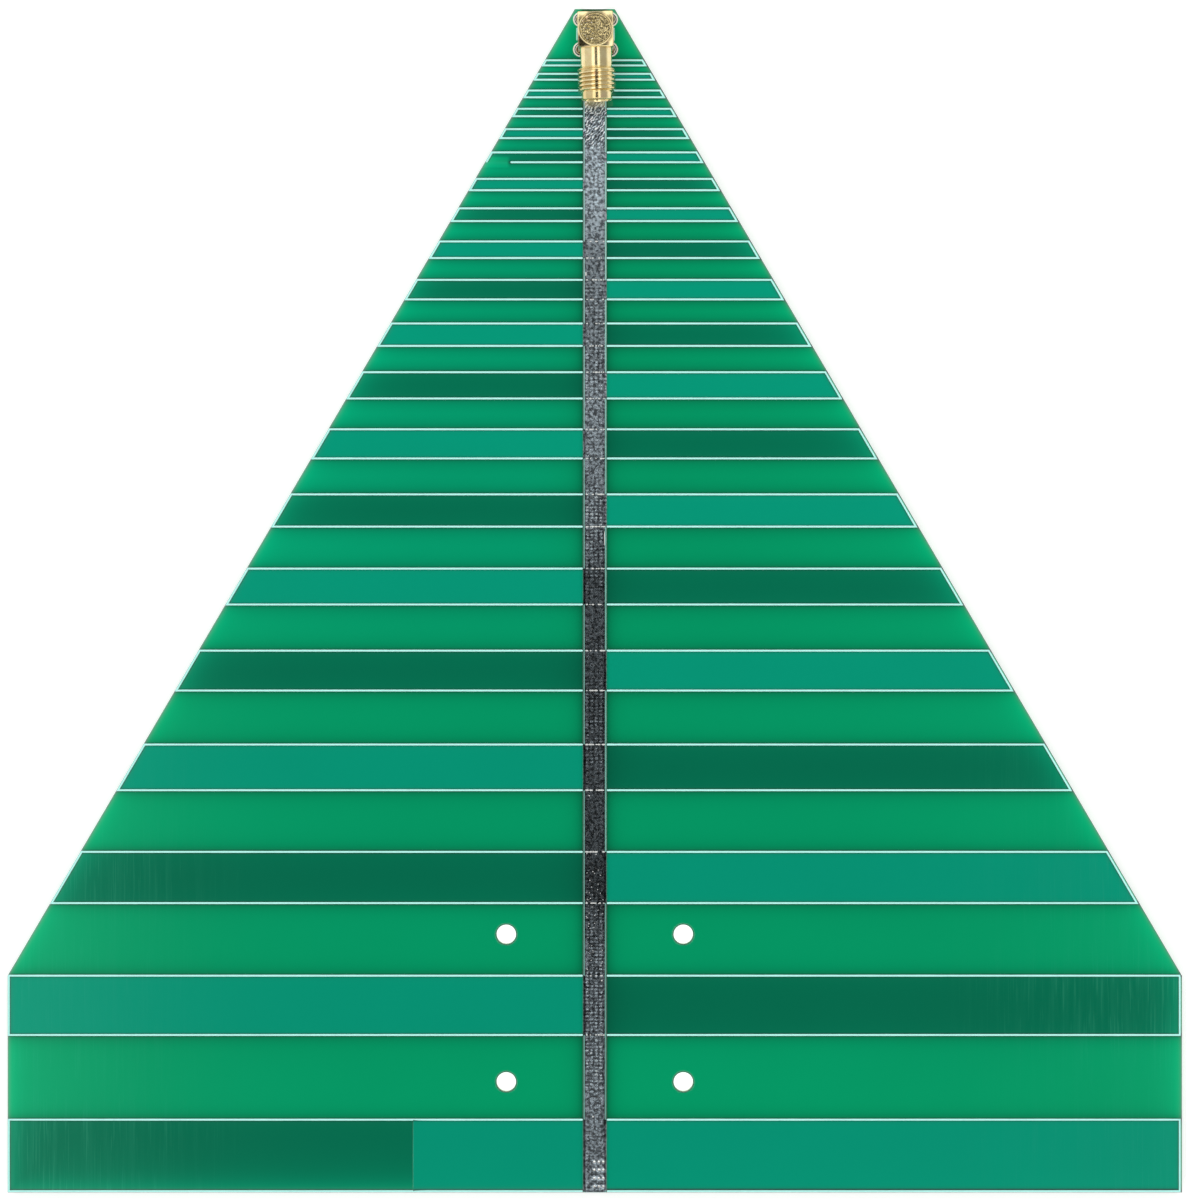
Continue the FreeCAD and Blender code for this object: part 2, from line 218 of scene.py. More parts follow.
# ------------------------------------------------------------ material helpers
class Mat:
    def __init__(self, name, rough=0.5, metal=0.0, ior=1.5, color=(0.5, 0.5, 0.5)):
        self.m = bpy.data.materials.new(name)
        self.m.use_nodes = True
        self.nt = self.m.node_tree
        self.nt.nodes.clear()
        out = self.nt.nodes.new("ShaderNodeOutputMaterial")
        self.b = self.nt.nodes.new("ShaderNodeBsdfPrincipled")
        self.nt.links.new(self.b.outputs["BSDF"], out.inputs["Surface"])
        self.b.inputs["Roughness"].default_value = rough
        self.b.inputs["Metallic"].default_value = metal
        self.b.inputs["IOR"].default_value = ior
        self.b.inputs["Base Color"].default_value = (*color, 1)
        tc = self.nt.nodes.new("ShaderNodeTexCoord")
        sc = self.nt.nodes.new("ShaderNodeVectorMath")
        sc.operation = "SCALE"
        sc.inputs["Scale"].default_value = 1000.0
        self.nt.links.new(tc.outputs["Object"], sc.inputs[0])
        self.p = sc.outputs[0]
        sep = self.nt.nodes.new("ShaderNodeSeparateXYZ")
        self.nt.links.new(self.p, sep.inputs[0])
        self.x, self.y, self.z = sep.outputs

    def put(self, node, i, v):
        if isinstance(v, (int, float)):
            node.inputs[i].default_value = v
        elif isinstance(v, tuple):
            node.inputs[i].default_value = v if len(v) == len(node.inputs[i].default_value) else (*v, 1)
        else:
            self.nt.links.new(v, node.inputs[i])

    def f(self, op, *args, clamp=False):
        n = self.nt.nodes.new("ShaderNodeMath")
        n.operation = op
        n.use_clamp = clamp
        for i, a in enumerate(args):
            self.put(n, i, a)
        return n.outputs[0]

    def add(self, a, b): return self.f("ADD", a, b)
    def sub(self, a, b): return self.f("SUBTRACT", a, b)
    def mul(self, a, b): return self.f("MULTIPLY", a, b)
    def abs(self, a): return self.f("ABSOLUTE", a)

    def decay(self, d, length):
        """exp(-d / length)"""
        return self.f("POWER", 2.718281828, self.mul(d, -1.0 / length))

    def step(self, a, b, v):
        """0 below a, 1 above b, smooth between; a may be above b."""
        n = self.nt.nodes.new("ShaderNodeMapRange")
        n.interpolation_type = "SMOOTHSTEP"
        self.put(n, 0, v)
        n.inputs[1].default_value, n.inputs[2].default_value = (a, b) if a < b else (b, a)
        n.inputs[3].default_value, n.inputs[4].default_value = (0, 1) if a < b else (1, 0)
        return n.outputs[0]

    def scaled(self, sx, sy, sz, shift=(0, 0, 0)):
        n = self.nt.nodes.new("ShaderNodeVectorMath")
        n.operation = "MULTIPLY_ADD"
        self.nt.links.new(self.p, n.inputs[0])
        n.inputs[1].default_value = (sx, sy, sz)
        n.inputs[2].default_value = shift
        return n.outputs[0]

    def noise(self, vec, scale=1.0, detail=2.0, rough=0.5, distortion=0.0):
        n = self.nt.nodes.new("ShaderNodeTexNoise")
        self.nt.links.new(vec, n.inputs["Vector"])
        n.inputs["Scale"].default_value = scale
        n.inputs["Detail"].default_value = detail
        n.inputs["Roughness"].default_value = rough
        n.inputs["Distortion"].default_value = distortion
        return n.outputs["Fac"] if "Fac" in n.outputs else n.outputs[0]

    def voronoi(self, vec, scale=1.0, feature="F1"):
        n = self.nt.nodes.new("ShaderNodeTexVoronoi")
        n.feature = feature
        self.nt.links.new(vec, n.inputs["Vector"])
        n.inputs["Scale"].default_value = scale
        return n.outputs["Distance"]

    def mix(self, fac, a, b):
        n = self.nt.nodes.new("ShaderNodeMix")
        n.data_type = "RGBA"
        self.put(n, 0, fac)
        for i, v in ((6, a), (7, b)):
            if isinstance(v, tuple):
                n.inputs[i].default_value = (*v, 1)
            else:
                self.nt.links.new(v, n.inputs[i])
        return n.outputs[2]

    def tint(self, color, fac):
        """color times a number"""
        n = self.nt.nodes.new("ShaderNodeVectorMath")
        n.operation = "SCALE"
        if isinstance(color, tuple):
            n.inputs[0].default_value = color
        else:
            self.nt.links.new(color, n.inputs[0])
        self.put(n, 3, fac)
        return n.outputs[0]

    def plus(self, a, b):
        n = self.nt.nodes.new("ShaderNodeVectorMath")
        n.operation = "ADD"
        for i, v in enumerate((a, b)):
            if isinstance(v, tuple):
                n.inputs[i].default_value = v
            else:
                self.nt.links.new(v, n.inputs[i])
        return n.outputs[0]

    def attr(self, name):
        n = self.nt.nodes.new("ShaderNodeAttribute")
        n.attribute_name = name
        return n.outputs["Fac"]

    def color(self, c): self.nt.links.new(c, self.b.inputs["Base Color"])
    def rough(self, r): self.nt.links.new(r, self.b.inputs["Roughness"])

    def bump(self, height, um, normal=None):
        """height of 0..1 stands for um thousandths of a millimetre"""
        n = self.nt.nodes.new("ShaderNodeBump")
        n.inputs["Strength"].default_value = 1.0
        n.inputs["Distance"].default_value = um * 1e-6
        self.nt.links.new(height, n.inputs["Height"])
        if normal is not None:
            self.nt.links.new(normal, n.inputs["Normal"])
        return n.outputs[0]

    def normal(self, n): self.nt.links.new(n, self.b.inputs["Normal"])

    def weave(self, pitch_x=0.78, pitch_y=0.78):
        """plain glass weave, 0..1"""
        a = self.f("SINE", self.mul(self.x, math.pi / pitch_x))
        b = self.f("SINE", self.mul(self.y, math.pi / pitch_y))
        return self.add(self.mul(self.mul(a, b), 0.5), 0.5)

    def side_distance(self):
        """distance in from the board's outline"""
        ax = self.abs(self.x)
        slant = self.mul(self.sub(self.add(self.mul(self.sub(Y_APEX, self.y), SLOPE), HALF_APEX), ax), 1 / SEC)
        flat = self.sub(HALF_WIDTH, ax)
        low = self.sub(self.y, Y_BASE)
        return self.f("MINIMUM", self.f("MINIMUM", slant, flat), low)


# -------------------------------------------------------------------- materials
def lacquer_material(name, kind):
    bare = (0.0004, 0.317, 0.131)
    base = {"bare": bare, "near": (0.0010, 0.298, 0.180), "far": (0.0008, 0.149, 0.076)}[kind]
    m = Mat(name, rough=0.10, ior=1.5)
    # band 6 has lost the end of its line on the left, and is pale there
    front = m.step(0.5, 1.0, m.z)
    lost = m.mul(front, m.mul(m.step(-14.2, -15.0, m.x), m.step(1.1, 0.7, m.abs(m.sub(m.y, 143.34)))))
    gap = m.attr("gap")
    ax = m.abs(m.x)
    boom = m.f("MAXIMUM", m.sub(ax, WINDOW_HALF), 0.0)
    e = m.f("MAXIMUM", m.side_distance(), 0.0)
    # painted shade: the light that soaks in under the foil's edges is lost, and dark lines are painted beside the ink
    # and the boom
    rib = m.mul(m.decay(m.f("MAXIMUM", m.sub(gap, 0.13), 0.0), 0.15), 0.62)
    rib = m.mul(rib, m.mul(m.sub(1.0, lost), m.add(0.25, m.mul(front, 0.75))))
    shade = m.mul(m.sub(1.0, rib), m.sub(1.0, m.mul(m.decay(boom, 0.2), 0.55)))
    # painted shade falls off from the foil's edges and the boom; painted light brightens the lacquer towards the
    # board's edges, and the far foil near its own edges
    if kind == "bare":
        shade = m.mul(shade, m.sub(1.0, m.mul(m.mul(m.decay(gap, 1.0), m.sub(1.0, lost)), 0.46)))
        shade = m.mul(shade, m.sub(1.0, m.mul(m.decay(boom, 1.1), 0.50)))
        painted_edge_light = m.add(1.0, m.add(m.mul(m.decay(e, 1.3), 0.50), m.mul(m.decay(e, 12.0), 0.19)))
    elif kind == "near":
        painted_edge_light = m.add(1.0, m.mul(m.decay(e, 4.0), 0.05))
    else:
        shade = m.mul(shade, m.add(1.0, m.mul(m.decay(gap, 1.2), 0.12)))
        shade = m.mul(shade, m.sub(1.0, m.mul(m.decay(boom, 2.2), 0.30)))
        painted_edge_light = m.add(1.0, m.add(m.mul(m.decay(e, 1.6), 0.85), m.mul(m.decay(e, 6.0), 0.25)))
    # painted shade: a dark line just inside the closing ink lines
    if kind != "bare":
        rim = m.sub(e, m.add(0.40, m.mul(m.step(-1.0, 1.0, m.x), 0.17)))
        shade = m.mul(shade, m.sub(1.0, m.mul(m.decay(m.f("MAXIMUM", rim, 0.0), 0.14), 0.55)))
    # painted shade: a dark line along the board's edge; a little brighter towards the far left
    level = m.mul(m.mul(shade, painted_edge_light), m.sub(1.0, m.mul(m.decay(e, 0.26), 0.75)))
    level = m.mul(level, m.add(1.0, m.mul(m.step(-66.0, -96.0, m.x), 0.08)))
    # slow mottling of the lacquer's thickness
    slow = m.noise(m.scaled(0.035, 0.05, 0.05), 1.0, 3.0, 0.55)
    level = m.mul(level, m.add(0.955, m.mul(slow, 0.09)))
    if kind == "far":
        base = m.mix(m.mul(lost, 0.45), base, bare)
    up = m.step(5.0, 120.0, m.y)
    if kind == "bare":
        left = m.mul(m.step(4.0, -12.0, m.x), m.step(50.0, 80.0, m.y))
        level = m.mul(level, m.add(1.0, m.add(m.mul(m.step(156.0, 160.0, m.y), 0.13), m.mul(left, 0.045))))
        base = m.mix(left, base, (base[0], base[1], base[2] * 1.13))
    else:
        level = m.mul(level, m.add(1.0, m.mul(up, 0.11)))
    # glass strands show as upright streaks towards the sides of the wide end
    wide = m.noise(m.scaled(0.85, 0.030, 0.03, (3.7, 0, 0)), 1.0, 3.0, 0.62)
    thin = m.noise(m.scaled(2.9, 0.075, 0.03, (1.3, 5, 0)), 1.0, 2.0, 0.6)
    where = m.mul(m.step(52.0, 94.0, ax), m.step(78.0, 18.0, m.y))
    where = m.mul(where, m.add(0.30, m.mul(m.noise(m.scaled(0.03, 0.09, 0.02, (9, 4, 0)), 1.0, 2.0), 1.2)))
    strand = m.mul(m.add(m.mul(m.step(0.42, 0.68, wide), 0.35), m.mul(m.step(0.56, 0.66, thin), 0.65)), where)
    c = m.tint(base, level)
    c = m.plus(c, m.tint({"bare": (0.004, 0.012, 0.016), "near": (0.006, 0.010, 0.012), "far": (0.012, 0.060, 0.042)}[kind], strand))
    # the lacquer near the sides is thinner and paler, and a little ink has bled beside its lines
    c = m.plus(c, m.tint((0.22, 0.185, 0.22), m.mul(m.decay(e, 0.23), m.sub(1.0, m.mul(m.step(-1.0, 1.0, m.x), 0.30)))))
    c = m.plus(c, m.tint((0.006, 0.003, 0.008), m.decay(m.f("MAXIMUM", m.sub(gap, 0.12), 0.0), 0.28)))
    m.color(c)
    h = m.add(m.mul(m.weave(), 0.5), m.mul(m.noise(m.scaled(1, 1, 1), 0.9, 2.0, 0.5), 1.5))
    m.normal(m.bump(h, 1.3))
    return m.m


def ink_material():
    m = Mat("legend_white", rough=0.42, ior=1.48)
    n = m.noise(m.scaled(1, 1, 1), 5.0, 4.0, 0.6)
    slow = m.noise(m.scaled(0.3, 0.3, 0.3), 1.0, 3.0)
    c = m.mix(m.step(0.25, 0.75, n), (0.45, 0.97, 0.87), (0.52, 1.0, 0.94))
    c = m.mix(m.step(1.99, 1.94, m.abs(m.x)), c, (0.66, 0.68, 0.66))
    m.color(m.tint(c, m.add(0.93, m.mul(slow, 0.12))))
    m.normal(m.bump(n, 4.0))
    return m.m


def laminate_material():
    m = Mat("glass_epoxy", rough=0.5, ior=1.53)
    ax = m.abs(m.x)
    # cut sides: plies of woven glass in resin, end-on strands as pale flecks
    ply = m.f("SINE", m.mul(m.z, 2 * math.pi / 0.19))
    ply = m.add(m.mul(ply, 0.5), 0.5)
    along = m.noise(m.scaled(3.0, 3.0, 9.0), 1.0, 4.0, 0.65)
    fleck = m.step(0.50, 0.66, m.noise(m.scaled(5.5, 5.5, 16.0), 1.0, 2.0, 0.7))
    side = m.mix(ply, (0.30, 0.36, 0.19), (0.50, 0.55, 0.36))
    side = m.mix(m.mul(fleck, 0.7), side, (0.74, 0.76, 0.62))
    side = m.tint(side, m.add(0.72, m.mul(along, 0.55)))
    # bare face in the gaps beside the boom and round the pads
    near_boom = m.step(4.6, 4.0, ax)
    wv = m.noise(m.scaled(2.2, 2.2, 2.2), 1.0, 3.0, 0.6)
    top = m.step(60.0, 150.0, m.y)
    pale = m.mix(top, (0.135, 0.385, 0.32), (0.29, 0.57, 0.51))
    pale = m.tint(pale, m.add(0.62, m.mul(wv, 0.8)))
    green = m.tint((0.010, 0.17, 0.095), m.add(0.8, m.mul(wv, 0.4)))
    pads = m.step(158.0, 160.0, m.y)
    outer = m.mul(m.step(1.80, 1.90, ax), m.f("MAXIMUM", m.step(1.0, -1.0, m.x), m.step(24.0, 16.0, m.y)))
    pale = m.tint(pale, m.sub(1.0, m.mul(outer, 0.62)))
    face = m.mix(near_boom, green, m.mix(pads, pale, m.tint((0.93, 1.0, 0.92), m.add(0.90, m.mul(wv, 0.18)))))
    geo = m.nt.nodes.new("ShaderNodeNewGeometry")
    sep = m.nt.nodes.new("ShaderNodeSeparateXYZ")
    m.nt.links.new(geo.outputs["Normal"], sep.inputs[0])
    flat = m.step(0.5, 0.8, m.abs(sep.outputs[2]))
    m.color(m.mix(flat, side, face))
    m.rough(m.add(0.38, m.mul(along, 0.3)))
    h = m.add(m.mul(along, 1.0), m.mul(fleck, 0.6))
    m.normal(m.bump(h, 14.0))
    return m.m


def copper_material():
    m = Mat("bare_copper", rough=0.35, metal=1.0)
    n = m.noise(m.scaled(1, 1, 1), 1.4, 4.0, 0.6)
    r = m.f("SQRT", m.add(m.f("POWER", m.sub(m.x, JX), 2.0), m.f("POWER", m.sub(m.y, JY), 2.0)))
    tinned = m.mul(m.step(1.30, 1.25, r), m.step(0.6, 0.2, m.z))
    m.color(m.mix(tinned, m.mix(n, (0.62, 0.30, 0.17), (0.80, 0.46, 0.30)), (0.74, 0.75, 0.74)))
    m.rough(m.add(0.28, m.mul(n, 0.2)))
    m.normal(m.bump(m.weave(), 2.0))
    return m.m


def tin_material(name="tin_coat", strip=True):
    m = Mat(name, rough=0.25, metal=1.0)
    fine = m.noise(m.scaled(1, 1, 1), 5.5, 3.0, 0.62)
    slow = m.noise(m.scaled(0.6, 0.10, 0.5, (0, 2.0, 0)), 1.0, 3.0, 0.6)
    speck = m.step(0.56, 0.70, m.noise(m.scaled(1, 1, 1), 3.2, 2.0, 0.5))
    if strip:
        # the glass cloth below prints through: lighter ribs every 0.78 mm across and every 0.575 mm along
        rib = m.add(m.mul(m.f("COSINE", m.mul(m.add(m.x, 1.32), 2 * math.pi / 0.78)), 0.5), 0.5)
        wave = m.mul(m.noise(m.scaled(0.5, 0.25, 0.5), 1.0, 2.0), 0.5)
        row = m.add(m.mul(m.f("COSINE", m.mul(m.add(m.y, wave), 2 * math.pi / 0.575)), 0.5), 0.5)
        fade = m.noise(m.scaled(0.8, 0.8, 0.8, (3, 3, 3)), 1.0, 2.0)
        node = m.step(0.22, 0.85, m.add(m.mul(rib, 0.50), m.mul(row, 0.50)))
        node = m.mul(node, node)
        lattice = m.add(0.26, m.mul(node, 1.15))
        where = None
        for lo, hi, much in ((-13.0, 19.0, 0.60), (41.0, 55.5, 0.66), (71.0, 87.5, 0.62), (105.0, 112.5, 0.50), (116.0, 121.0, 0.40)):
            part = m.mul(m.mul(m.step(lo - 2.0, lo + 1.0, m.y), m.step(hi + 2.0, hi - 1.0, m.y)), much)
            where = part if where is None else m.add(where, part)
        where = m.add(0.16, m.mul(where, m.add(0.35, m.mul(m.step(0.35, 0.60, fade), 0.85))))
        cloth = m.add(m.mul(lattice, where), m.mul(m.sub(1.0, where), 0.64))
        grit = m.step(0.38, 0.62, m.noise(m.scaled(1, 1, 1, (7, 1, 2)), 1.9, 2.0, 0.6))
        cloth = m.mul(cloth, m.add(0.35, m.mul(grit, 1.30)))
        # slanted ripples left by the hot air near the jack, leaning right first and left below
        bend = m.mul(m.noise(m.scaled(1, 1, 1, (0, 0, 9)), 1.7, 2.0), 1.3)
        right = m.f("SINE", m.mul(m.add(m.sub(m.x, m.mul(m.y, 0.85)), bend), 2 * math.pi / 0.62))
        left = m.f("SINE", m.mul(m.add(m.add(m.x, m.y), bend), 2 * math.pi / 0.70))
        patchy = m.step(0.36, 0.60, m.noise(m.scaled(1, 1, 1, (4, 4, 4)), 1.25, 2.0))
        high = m.step(145.2, 146.6, m.y)
        mid = m.mul(m.step(140.6, 141.8, m.y), m.sub(1.0, high))
        ripple = m.add(m.mul(m.step(-0.2, 0.8, right), m.mul(high, m.add(0.35, m.mul(patchy, 2.1)))), m.mul(m.step(-0.3, 0.7, left), m.mul(mid, 0.30)))
        calm = m.sub(1.0, m.add(m.mul(high, 0.62), m.mul(mid, 0.12)))
        cloth = m.add(m.mul(cloth, calm), m.mul(ripple, m.add(0.45, grit)))
        # painted light: dull in the middle of the board, brighter towards the jack
        painted_light_along = m.sub(0.46, m.mul(m.step(8.0, 20.0, m.y), 0.32))
        for lo, hi, d in ((-4.0, -10.0, 0.13), (-11.5, -13.5, 0.07), (-16.5, -18.5, -0.08), (20.0, 44.0, 0.11), (69.0, 86.0, 0.34), (96.0, 122.0, -0.22), (126.0, 138.0, 0.31), (141.0, 148.0, -0.21), (149.6, 151.6, 0.19)):
            painted_light_along = m.add(painted_light_along, m.mul(m.step(lo, hi, m.y), d))
        c = m.tint((0.79, 0.94, 1.04), m.mul(painted_light_along, m.mul(cloth, m.add(0.62, m.mul(slow, 0.76)))))
        c = m.mix(m.mul(speck, 0.24), c, (0.80, 0.81, 0.80))
        # painted shade: the tin is darker at its rounded edges, more towards the wide end
        c = m.tint(c, m.sub(1.0, m.mul(m.step(1.48, 1.62, m.abs(m.x)), m.add(0.36, m.mul(m.step(110.0, 80.0, m.y), 0.30)))))
        # painted reflection: the barrel's end is mirrored in the tin as a gold tint on the front
        c = m.mix(m.mul(m.mul(m.step(0.5, 1.0, m.z), m.mul(m.step(152.4, 153.3, m.y), m.step(155.6, 154.4, m.y))), 0.45), c, (0.95, 0.82, 0.56))
        top = m.step(66.0, 140.0, m.y)
        m.rough(m.add(m.add(0.12, m.mul(fine, 0.16)), m.mul(top, 0.10)))
        h = m.add(m.mul(fine, 1.0), m.add(m.mul(m.add(rib, row), 0.2), m.mul(grit, 0.35)))
        m.color(c)
        m.normal(m.bump(h, 13.0))
        return m.m
    c = m.mix(slow, (0.66, 0.67, 0.67), (0.80, 0.80, 0.79))
    c = m.mix(m.mul(speck, 0.4), c, (0.90, 0.90, 0.88))
    # painted shade: a dark ring on the pad's flat, stronger on the right, and a painted shadow round the leg
    px, py = (m.sub(m.abs(m.sub(a, b)), LEG) for a, b in ((m.x, JX), (m.y, JY)))
    r = m.f("SQRT", m.add(m.mul(px, px), m.mul(py, py)))
    flat = m.mul(m.mul(m.step(0.83, 0.90, r), m.step(1.08, 1.03, r)), m.step(1.40, 1.50, m.z))
    flat = m.mul(flat, m.add(0.35, m.mul(m.step(-1.0, 1.0, m.x), 0.55)))
    painted_leg_shadow = m.mul(m.step(0.72, 0.64, r), m.step(1.40, 1.50, m.z))
    c = m.tint(c, m.sub(1.0, m.f("MAXIMUM", flat, m.mul(painted_leg_shadow, 0.88))))
    m.color(m.tint(c, m.add(0.6, m.mul(fine, 0.6))))
    m.rough(m.add(0.07, m.mul(fine, 0.08)))
    m.normal(m.bump(fine, 2.5))
    return m.m


def plating_material():
    m = Mat("hole_plating", rough=0.35, metal=1.0)
    n = m.noise(m.scaled(1, 1, 1), 7.0, 3.0)
    m.color(m.mix(n, (0.62, 0.55, 0.48), (0.80, 0.76, 0.70)))
    m.rough(m.add(0.3, m.mul(n, 0.2)))
    return m.m


def gold_material(name, cap=False):
    m = Mat(name, rough=0.16, metal=1.0)
    fine = m.noise(m.scaled(1, 1, 1), 4.0, 4.0, 0.6)
    if cap:
        blot = m.noise(m.scaled(1, 1, 1), 2.9, 3.0, 0.65)
        c = m.mix(m.step(0.34, 0.66, blot), (0.52, 0.40, 0.165), (0.87, 0.73, 0.37))
        pit = m.step(0.56, 0.66, m.noise(m.scaled(1, 1, 1, (5, 2, 1)), 3.9, 2.0, 0.5))
        c = m.mix(m.mul(pit, 0.55), c, (0.22, 0.15, 0.07))
        # painted light: the right side of the disc lighter; the pale flecks, more on the left, are painted glints
        c = m.mix(m.mul(m.step(-0.6, 1.6, m.x), 0.40), c, (0.85, 0.69, 0.36))
        left = m.step(1.0, -1.5, m.x)
        fleck = m.mul(m.step(0.60, 0.66, m.noise(m.scaled(1, 1, 1, (1, 8, 3)), 3.4, 2.0, 0.5)), m.add(0.25, m.mul(left, 0.6)))
        c = m.mix(fleck, c, (1.0, 0.95, 0.82))
        # warm patch at the upper left, and painted shade in the groove where the disc is pressed in
        rosy = m.mul(m.mul(m.step(-0.2, -1.4, m.x), m.step(165.6, 166.6, m.y)), m.step(0.44, 0.56, blot))
        c = m.mix(m.mul(rosy, 0.55), c, (0.93, 0.60, 0.42))
        r = m.f("SQRT", m.add(m.f("POWER", m.sub(m.x, JX), 2.0), m.f("POWER", m.sub(m.y, JY), 2.0)))
        c = m.mix(m.mul(m.step(2.50, 2.58, r), 0.6), c, (0.20, 0.15, 0.06))
        m.color(c)
        m.rough(m.add(0.12, m.mul(fine, 0.14)))
        m.normal(m.bump(m.add(fine, m.mul(blot, 0.8)), 10.0))
        return m.m
    slow = m.noise(m.scaled(0.7, 0.7, 0.7, (2, 0, 5)), 1.0, 3.0, 0.6)
    c = m.mix(m.step(0.3, 0.7, slow), (0.83, 0.675, 0.345), (0.89, 0.765, 0.435))
    # painted shade deep in the thread and on the barrel's end, stronger on the left side
    groove_shade = m.attr("groove")
    axis = m.sub(m.x, m.mul(m.sub(165.0, m.y), math.sin(JACK_TURN)))
    on_left = m.step(0.9, 0.1, axis)
    c = m.mix(m.mul(m.mul(groove_shade, groove_shade), m.add(0.12, m.mul(on_left, 0.70))), c, (0.50, 0.345, 0.11))
    # painted reflection: a dark line along the top of the thread
    mid = m.sub(1.0, m.step(0.10, 0.42, m.abs(m.sub(axis, 0.16))))
    c = m.mix(m.mul(m.mul(mid, m.step(9.2, 9.5, m.z)), m.mul(groove_shade, 0.85)), c, (0.07, 0.04, 0.01))
    # painted highlight: a paler band on the thread's right; painted reflection: the green board on the thread's sides
    cut = m.mul(m.step(154.75, 154.95, m.y), m.step(158.75, 158.55, m.y))
    pale = m.mul(m.mul(m.step(0.5, 0.9, axis), m.step(2.45, 2.15, axis)), cut)
    c = m.tint(c, m.add(1.0, m.mul(pale, 0.12)))
    c = m.mix(m.mul(m.mul(m.step(2.30, 2.80, m.abs(axis)), cut), 0.50), c, (0.24, 0.27, 0.10))
    # painted shade on the block's front left corner, the rear arc round the disc and the ring's seam
    c = m.mix(m.attr("painted_jack_shade"), c, (0.11, 0.10, 0.045))
    pink = m.step(0.58, 0.70, m.noise(m.scaled(0.9, 0.9, 0.9, (7, 3, 1)), 1.0, 2.0, 0.5))
    c = m.mix(m.mul(pink, 0.35), c, (0.93, 0.62, 0.42))
    m.color(c)
    # fine turning marks run round the barrel, so they are bands along it
    turn = m.noise(m.scaled(0.15, 16.0, 0.15), 1.0, 3.0, 0.7)
    m.rough(m.add(0.10, m.mul(fine, 0.14)))
    h = m.add(m.mul(turn, 0.9), m.mul(fine, 0.5))
    m.normal(m.bump(h, 3.0))
    return m.m


def bead_material():
    m = Mat("fluoropolymer", rough=0.45, ior=1.38)
    n = m.noise(m.scaled(1, 1, 1), 2.2, 3.0)
    m.color(m.mix(n, (0.84, 0.83, 0.79), (0.92, 0.91, 0.88)))
    m.normal(m.bump(m.noise(m.scaled(1, 1, 1), 9.0, 3.0), 4.0))
    return m.m


M_BARE = lacquer_material("lacquer_over_laminate", "bare")
M_NEAR = lacquer_material("lacquer_over_near_foil", "near")
M_FAR = lacquer_material("lacquer_over_far_foil", "far")
M_INK = ink_material()
M_LAM = laminate_material()
M_CU = copper_material()
M_TIN = tin_material()
M_SOLDER = tin_material("solder", strip=False)
M_PLATE = plating_material()
M_GOLD = gold_material("gold_plate")
M_CAP = gold_material("mottled_brass", cap=True)
M_BEAD = bead_material()


# ---------------------------------------------------------------------- lacquer
Z_OVER_LAM, Z_OVER_CU = 1.575, 1.589


def lacquer_z(x, y, flip=1):
    """Height of the lacquer's face over the laminate's back, or the same measure on the other side."""
    return np.where(on_foil(x, y, flip, -0.02), Z_OVER_CU, Z_OVER_LAM)


def circle(cx, cy, r, n):
    return [(cx + r * math.cos(2 * math.pi * i / n), cy + r * math.sin(2 * math.pi * i / n)) for i in range(n)]


def in_circle(x, y, cx, cy, r, n):
    seg = 2 * math.pi / n
    a = np.arctan2(y - cy, x - cx) % seg - seg / 2
    return np.hypot(x - cx, y - cy) * np.cos(a) < r * math.cos(seg / 2)


